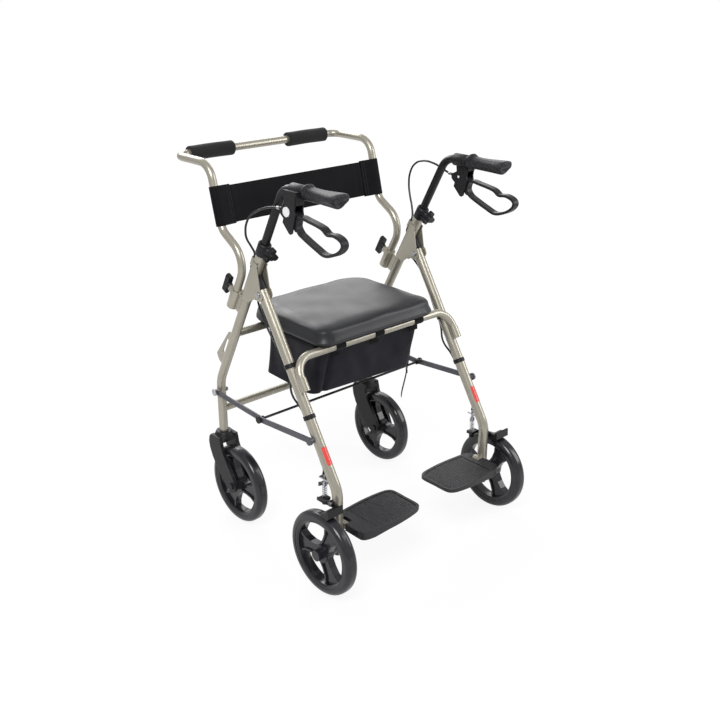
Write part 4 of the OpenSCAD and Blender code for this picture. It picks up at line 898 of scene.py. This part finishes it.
for side, k in SIDES:
    for face, sign in (("front", -1), ("rear", 1)):
        for row, x in enumerate((SEAM_X + 0.003, SEAM_X + 0.010)):
            ease = smooth((x - SEAM_X) / (FRAME_X - SEAM_X))
            depth = band_depth(SEAM_X) * (1 - ease) + sign * (PLY + (SLEEVE_R - PLY) * ease + STITCH_LIFT)
            line = [sling_point(k * x, depth, 0.002 + STITCH_PITCH * i) for i in range(STITCHES + 1)]
            stitch_row(f"strap_stitches_{face}_{row}_{side}", line, SLING_BACK * sign)


# Seat cushion: vinyl over foam, swollen by cloth simulation, held flat on its board

SEAT_LOW, SEAT_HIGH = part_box("seat_pad")
SEAT_MID = (Vector(SEAT_LOW) + Vector(SEAT_HIGH)) / 2
SEAT_SIZE = Vector(SEAT_HIGH) - Vector(SEAT_LOW)
SEAT_REAR_R = 0.070
SEAT_FRONT_R = 0.034
SEAT_TRIM = 0.002
SEAT_TOP_R = 0.012
SEAT_LOW_R = 0.003
VOXEL = 0.005
PRESSURE = 4.0
MOST_SWELL = 0.0045
EVEN_TURNS = 40
# How far the sides draw in, and the depths of the corner gathers and of the creases on top
WAIST = 0.0022
GATHER = 0.0008
CREASE = 0.0006

start_clean()
bpy.ops.mesh.primitive_cube_add(size=1, location=SEAT_MID + Vector((0, 0, -0.0008)))
cushion = bpy.context.object
cushion.scale = SEAT_SIZE - Vector((SEAT_TRIM, SEAT_TRIM, SEAT_TRIM))
cushion = own("seat_cushion")
bpy.ops.object.mode_set(mode="EDIT")
picked_edges(cushion, lambda a, b: abs(a.z - b.z) > 0.01 and a.y > SEAT_MID.y)
bpy.ops.mesh.bevel(offset=SEAT_REAR_R, segments=14, affect="EDGES")
picked_edges(cushion, lambda a, b: abs(a.z - b.z) > 0.01 and a.y < SEAT_LOW[1] + 0.02 and abs(a.x) > 0.15)
bpy.ops.mesh.bevel(offset=SEAT_FRONT_R, segments=9, affect="EDGES")
top_z = max(v.co.z for v in cushion.data.vertices)
low_z = min(v.co.z for v in cushion.data.vertices)
picked_edges(cushion, lambda a, b: a.z > top_z - 0.0005 and b.z > top_z - 0.0005)
bpy.ops.mesh.bevel(offset=SEAT_TOP_R, segments=5, affect="EDGES")
picked_edges(cushion, lambda a, b: a.z < low_z + 0.0005 and b.z < low_z + 0.0005)
bpy.ops.mesh.bevel(offset=SEAT_LOW_R, segments=2, affect="EDGES")
bpy.ops.object.mode_set(mode="OBJECT")
cushion.data.remesh_voxel_size = VOXEL
bpy.ops.object.voxel_remesh()


def swell(piece, held, pressure, cap, frames=20):
    """Blow the cover up from inside, with the held points fixed, no point moving further than cap."""
    before = [v.co.copy() for v in piece.data.vertices]
    group = piece.vertex_groups.new(name="held")
    group.add([i for i, c in enumerate(before) if held(c)], 1.0, "REPLACE")
    cloth = piece.modifiers.new("cover", "CLOTH")
    cloth.settings.vertex_group_mass = "held"
    cloth.settings.use_pressure = True
    cloth.settings.uniform_pressure_force = pressure
    cloth.settings.effector_weights.gravity = 0
    cloth.settings.quality = 4
    cloth.collision_settings.use_collision = False
    scene = bpy.context.scene
    for number in range(1, frames + 1):
        scene.frame_set(number)
    pick(piece)
    bpy.ops.object.modifier_apply(modifier="cover")
    scene.frame_set(1)
    for v, old in zip(piece.data.vertices, before):
        move = v.co - old
        if move.length > cap:
            v.co = old + move * (cap / move.length)
    piece.vertex_groups.clear()


def relax(piece, free, turns):
    """Even out the points that are free, as a stretched cover does over foam."""
    group = piece.vertex_groups.new(name="free")
    group.add([v.index for v in piece.data.vertices if free(v.co)], 1.0, "REPLACE")
    even = piece.modifiers.new("even", "SMOOTH")
    even.factor = 0.5
    even.iterations = turns
    even.vertex_group = "free"
    pick(piece)
    bpy.ops.object.modifier_apply(modifier="even")
    piece.vertex_groups.clear()


swell(cushion, lambda c: c.z < low_z + 0.004, PRESSURE, MOST_SWELL)
relax(cushion, lambda c: c.z > low_z + 0.008, EVEN_TURNS)
# Sides drawn in between the two seams, gathers low on the corners, and slow creases across the top
for point in cushion.data.vertices:
    c = point.co
    height = (c.z - SEAT_LOW[2]) / SEAT_SIZE.z
    inward = WAIST * math.sin(math.pi * min(1, max(0, height))) ** 2
    off = c - SEAT_MID
    edge = max(abs(off.x) / (SEAT_SIZE.x / 2), abs(off.y) / (SEAT_SIZE.y / 2))
    if edge > 0.9:
        c.x -= math.copysign(inward, off.x) if abs(off.x) > 0.8 * SEAT_SIZE.x / 2 else 0
        c.y -= math.copysign(inward, off.y) if abs(off.y) > 0.8 * SEAT_SIZE.y / 2 else 0
    radius = SEAT_REAR_R if off.y > 0 else SEAT_FRONT_R
    corner = Vector((abs(off.x) - SEAT_SIZE.x / 2 + radius, abs(off.y) - SEAT_SIZE.y / 2 + radius, 0))
    if min(corner.x, corner.y) > 0 and corner.length > 0.4 * radius:
        gather = math.sin(16 * math.atan2(corner.y, corner.x) + 2 * off.x / abs(off.x))
        low = smooth(height / 0.3) * smooth((0.75 - height) / 0.4)
        pull = corner.normalized() * (GATHER * gather * smooth(corner.length / radius - 0.4) * low)
        c.x -= math.copysign(pull.x, off.x)
        c.y -= math.copysign(pull.y, off.y)
    if height > 0.8:
        c.z -= CREASE + CREASE * math.sin(off.x * 48 + 17 * off.y) * math.sin(off.y * 37 - 9 * off.x)
    c.z = max(c.z, SEAT_LOW[2] + 0.0002)
subdivide_surface(cushion, 1)
soften(cushion, 70)
dress(cushion, vinyl, "seat", "seat_vinyl", "seat_pad")


def round_rect(u, hx, hy, r, rear=None):
    """Point on a rounded rectangle, u from 0 to 1 round it, from the middle of the +X side.

    The -Y corners have the radius r, and the others rear, or r where that isn't given.
    """
    rear = r if rear is None else rear
    corners = [(hx - rear, hy - rear, rear), (-hx + rear, hy - rear, rear), (-hx + r, -hy + r, r),
               (hx - r, -hy + r, r)]
    runs = [2 * (hx - rear), 2 * hy - rear - r, 2 * (hx - r), hy - r]
    s = (u % 1.0) * (hy - rear + sum(runs) + math.pi * (rear + r))
    if s < hy - rear:
        return (hx, s)
    s -= hy - rear
    for i, (cx, cy, radius) in enumerate(corners):
        arc = math.pi * radius / 2
        if s < arc:
            a = math.pi / 2 * i + s / radius
            return (cx + radius * math.cos(a), cy + radius * math.sin(a))
        s -= arc
        if s < runs[i] or i == 3:
            a = math.pi / 2 * (i + 1)
            return (cx + radius * math.cos(a) - s * math.sin(a), cy + radius * math.sin(a) + s * math.cos(a))
        s -= runs[i]


def rim_cord(name, hx, hy, r, rear, mid, z, thick, finish, body, slot):
    """Round welt along a rounded rectangle."""
    def at(u, v):
        x, y = round_rect(u, hx, hy, r, rear)
        ahead = round_rect(u + 0.001, hx, hy, r, rear)
        out = Vector((ahead[1] - y, x - ahead[0], 0)).normalized()
        turn = 2 * math.pi * v
        rise = Vector((0, 0, z + thick * math.sin(turn)))
        return mid + Vector((x, y, 0)) + out * (thick * math.cos(turn)) + rise
    welt = patch(name, 200, 8, at)
    tidy(welt, close_ends=False)
    soften(welt, 80)
    dress(welt, finish, body, slot)


SEAT_BASE = Vector((SEAT_MID.x, SEAT_MID.y, 0))
WELT_IN = 0.0035
WELT_UP = 0.0045
WELT_R = 0.0016
rim_cord("seat_lower_welt", SEAT_SIZE.x / 2 - WELT_IN, SEAT_SIZE.y / 2 - WELT_IN, SEAT_FRONT_R - 0.001,
         SEAT_REAR_R - 0.001, SEAT_BASE, SEAT_LOW[2] + WELT_UP, WELT_R, vinyl_welt, "seat", "seat_vinyl")


# Shopping bag: nylon shell that hangs from both bars, sags in its floor and creases at its corners

BAG_FRONT_TOP = -0.0891
BAG_FRONT_LOW = -0.0621
BAG_REAR_TOP = 0.1020
BAG_REAR_LOW = 0.1214
BAG_TOP = 0.5118
BAG_LOW = 0.3738
BAG_HALF = 0.1625
BAG_T = 0.0014
TAPE_T = 0.0012
# Share of the patch that makes the floor
FLOOR_SHARE = 0.35
HANG_X = (-0.114, 0.006, 0.136)
REAR_HANG_X = (-0.070, 0.070)


def bag_level(u, t):
    """Point on the bag's wall at t from 0, the floor's edge, to 1, the rim."""
    bulge = math.sin(math.pi * min(1, t)) ** 0.8
    half_x = BAG_HALF + 0.0015 * t - 0.002 * bulge
    y0 = BAG_FRONT_LOW + (BAG_FRONT_TOP - BAG_FRONT_LOW) * t ** 0.9 + 0.001
    y1 = BAG_REAR_LOW + (BAG_REAR_TOP - BAG_REAR_LOW) * t - 0.001
    x, y = round_rect(u, half_x, (y1 - y0) / 2, 0.016 + 0.006 * (1 - t))
    point = Vector((x, (y0 + y1) / 2 + y, 0))
    # The floor hangs a little lower at the front right than at the rear left
    low = BAG_LOW + 0.003 - 0.006 * x / 0.165 + 0.006 * (point.y - y0) / (y1 - y0)
    point.z = low + (BAG_TOP - low) * t
    front = smooth((y0 + 0.02 - point.y) / 0.02)
    sides = smooth((abs(x) - half_x + 0.012) / 0.012)
    rear = smooth((point.y - y1 + 0.02) / 0.02)
    # Slack between the hanging points, and soft folds that run down from them
    near = min(abs(x - h) for h in HANG_X)
    slack = smooth(near / 0.06)
    point.z -= 0.006 * slack * front * t ** 3
    point.y += front * (0.0018 * bulge * math.sin(x * 31 + 0.6) + 0.002 * slack * t)
    # Fine slanting creases where the cloth hangs from its loops
    point.y += front * 0.0011 * bulge * math.sin(95 * x + 60 * point.z) * math.sin(23 * x - 1.2)
    # One deep upright crease beside the front left corner
    crease = math.exp(-((x + 0.128 - 0.010 * t) / 0.006) ** 2) * (1 - smooth((t - 0.7) / 0.3))
    point.y += front * 0.006 * crease
    point.x -= math.copysign(sides * (0.003 * bulge * math.sin(point.y * 44 + 1.1) ** 2), x)
    point.y -= rear * 0.002 * bulge
    return point


def bag_point(u, v):
    if v >= FLOOR_SHARE:
        return bag_level(u, (v - FLOOR_SHARE) / (1 - FLOOR_SHARE))
    share = v / FLOOR_SHARE
    edge = bag_level(u, 0.0)
    centre = Vector((0, 0.030, BAG_LOW + 0.003))
    point = centre + (edge - centre) * share
    point.z += 0.0015 * math.sin(point.x * 40) * math.sin(point.y * 35) * math.sin(math.pi * share)
    return point


bag = patch("shopping_bag", 192, 60, bag_point)
tidy(bag, close_ends=False)
thicken(bag, BAG_T, -1)
soften(bag, 50)
dress(bag, bag_cloth, "back_frame", "bag_nylon", "bag")
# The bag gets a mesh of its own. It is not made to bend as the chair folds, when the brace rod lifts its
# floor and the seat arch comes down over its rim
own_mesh(bag)


def binding_point(u, v):
    out = bag_level(u, 1.0 - 0.085 * v)
    middle = Vector((0, (BAG_FRONT_TOP + BAG_REAR_TOP) / 2, out.z))
    push = (out - middle).normalized()
    return out + push * 0.0007 + Vector((0, 0, 0.0006))


binding = patch("bag_rim_binding", 192, 4, binding_point)
tidy(binding, close_ends=False)
thicken(binding, TAPE_T, 0.4)
soften(binding, 60)
dress(binding, bag_tape, "back_frame", "webbing")
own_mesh(binding)


# Webbing loops that carry the bag: three over the seat arch, two over the cross tube

WEB_T = 0.0015
BAR_Y = -0.10122
BAR_Z = 0.50714
CROSS_Y = 0.11640
LOOP_R = 0.0105
LOOP_WRAP = math.radians(300)
FRONT_TAIL = 0.030
REAR_TAIL = 0.044


def loop_path(v, radius, tail, behind):
    """Distance behind and above the bar's axis, from the tail's end, over the bar and back under it."""
    reach = LOOP_WRAP * radius
    s = v * (tail + reach)
    if s < tail:
        return (behind * radius, -tail + s)
    a = (s - tail) / radius
    return (behind * radius * math.cos(a), radius * math.sin(a))


def web_loop(name, x, y, z, tail, behind, body, width=0.028):
    def at(u, v):
        back, up = loop_path(v, LOOP_R, tail, behind)
        return Vector((x - width / 2 + width * u, y + back, z + up))
    loop = patch(name, 8, 48, at)
    thicken(loop, WEB_T)
    edge = loop.modifiers.new("selvedge", "BEVEL")
    edge.width = 0.0004
    edge.segments = 2
    soften(loop, 50)
    dress(loop, webbing, body, "webbing")
    return loop


front_loops = [web_loop(f"bag_front_loop_{i}", x, BAR_Y, BAR_Z, FRONT_TAIL, 1, "front_frame")
               for i, x in enumerate(HANG_X)]
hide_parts("bag_straps")
for i, x in enumerate(REAR_HANG_X):
    web_loop(f"bag_rear_loop_{i}", x, CROSS_Y, BAR_Z, REAR_TAIL, -1, "back_frame")


# Loose webbing tail with its slider, at the bag's front right corner

TAIL_X = 0.1648
TAIL_Y = -0.0471
TAIL_TOP = 0.4176
TAIL_L = 0.150
TAIL_W = 0.016
TAIL_TWIST = 0.72
SLIDER_AT = 0.47


def tail_point(u, v):
    sway = 0.022 * smooth((v - 0.3) / 0.7) + 0.002 * math.sin(v * 6)
    twist = TAIL_TWIST * smooth((v - 0.1) / 0.35)
    offset = (u - 0.5) * TAIL_W
    return Vector((TAIL_X + offset * math.sin(twist), TAIL_Y + sway + offset * math.cos(twist),
                   TAIL_TOP - TAIL_L * v))


tail = patch("bag_tail_strap", 6, 48, tail_point)
thicken(tail, TAPE_T)
soften(tail, 50)
dress(tail, webbing, "back_frame", "webbing", "tail_strap")
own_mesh(tail)
start_clean()
bpy.ops.mesh.primitive_cube_add(size=1, location=tail_point(0.5, SLIDER_AT), rotation=(0, 0, -TAIL_TWIST))
slider = bpy.context.object
slider.scale = (0.004, 0.020, 0.009)
slider = own("bag_tail_slider")
bpy.ops.object.mode_set(mode="EDIT")
bpy.ops.mesh.select_all(action="SELECT")
bpy.ops.mesh.bevel(offset=0.0012, segments=2, affect="EDGES")
bpy.ops.object.mode_set(mode="OBJECT")
soften(slider, 40)
dress(slider, nylon_mould, "back_frame", "black_plastic")
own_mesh(slider)
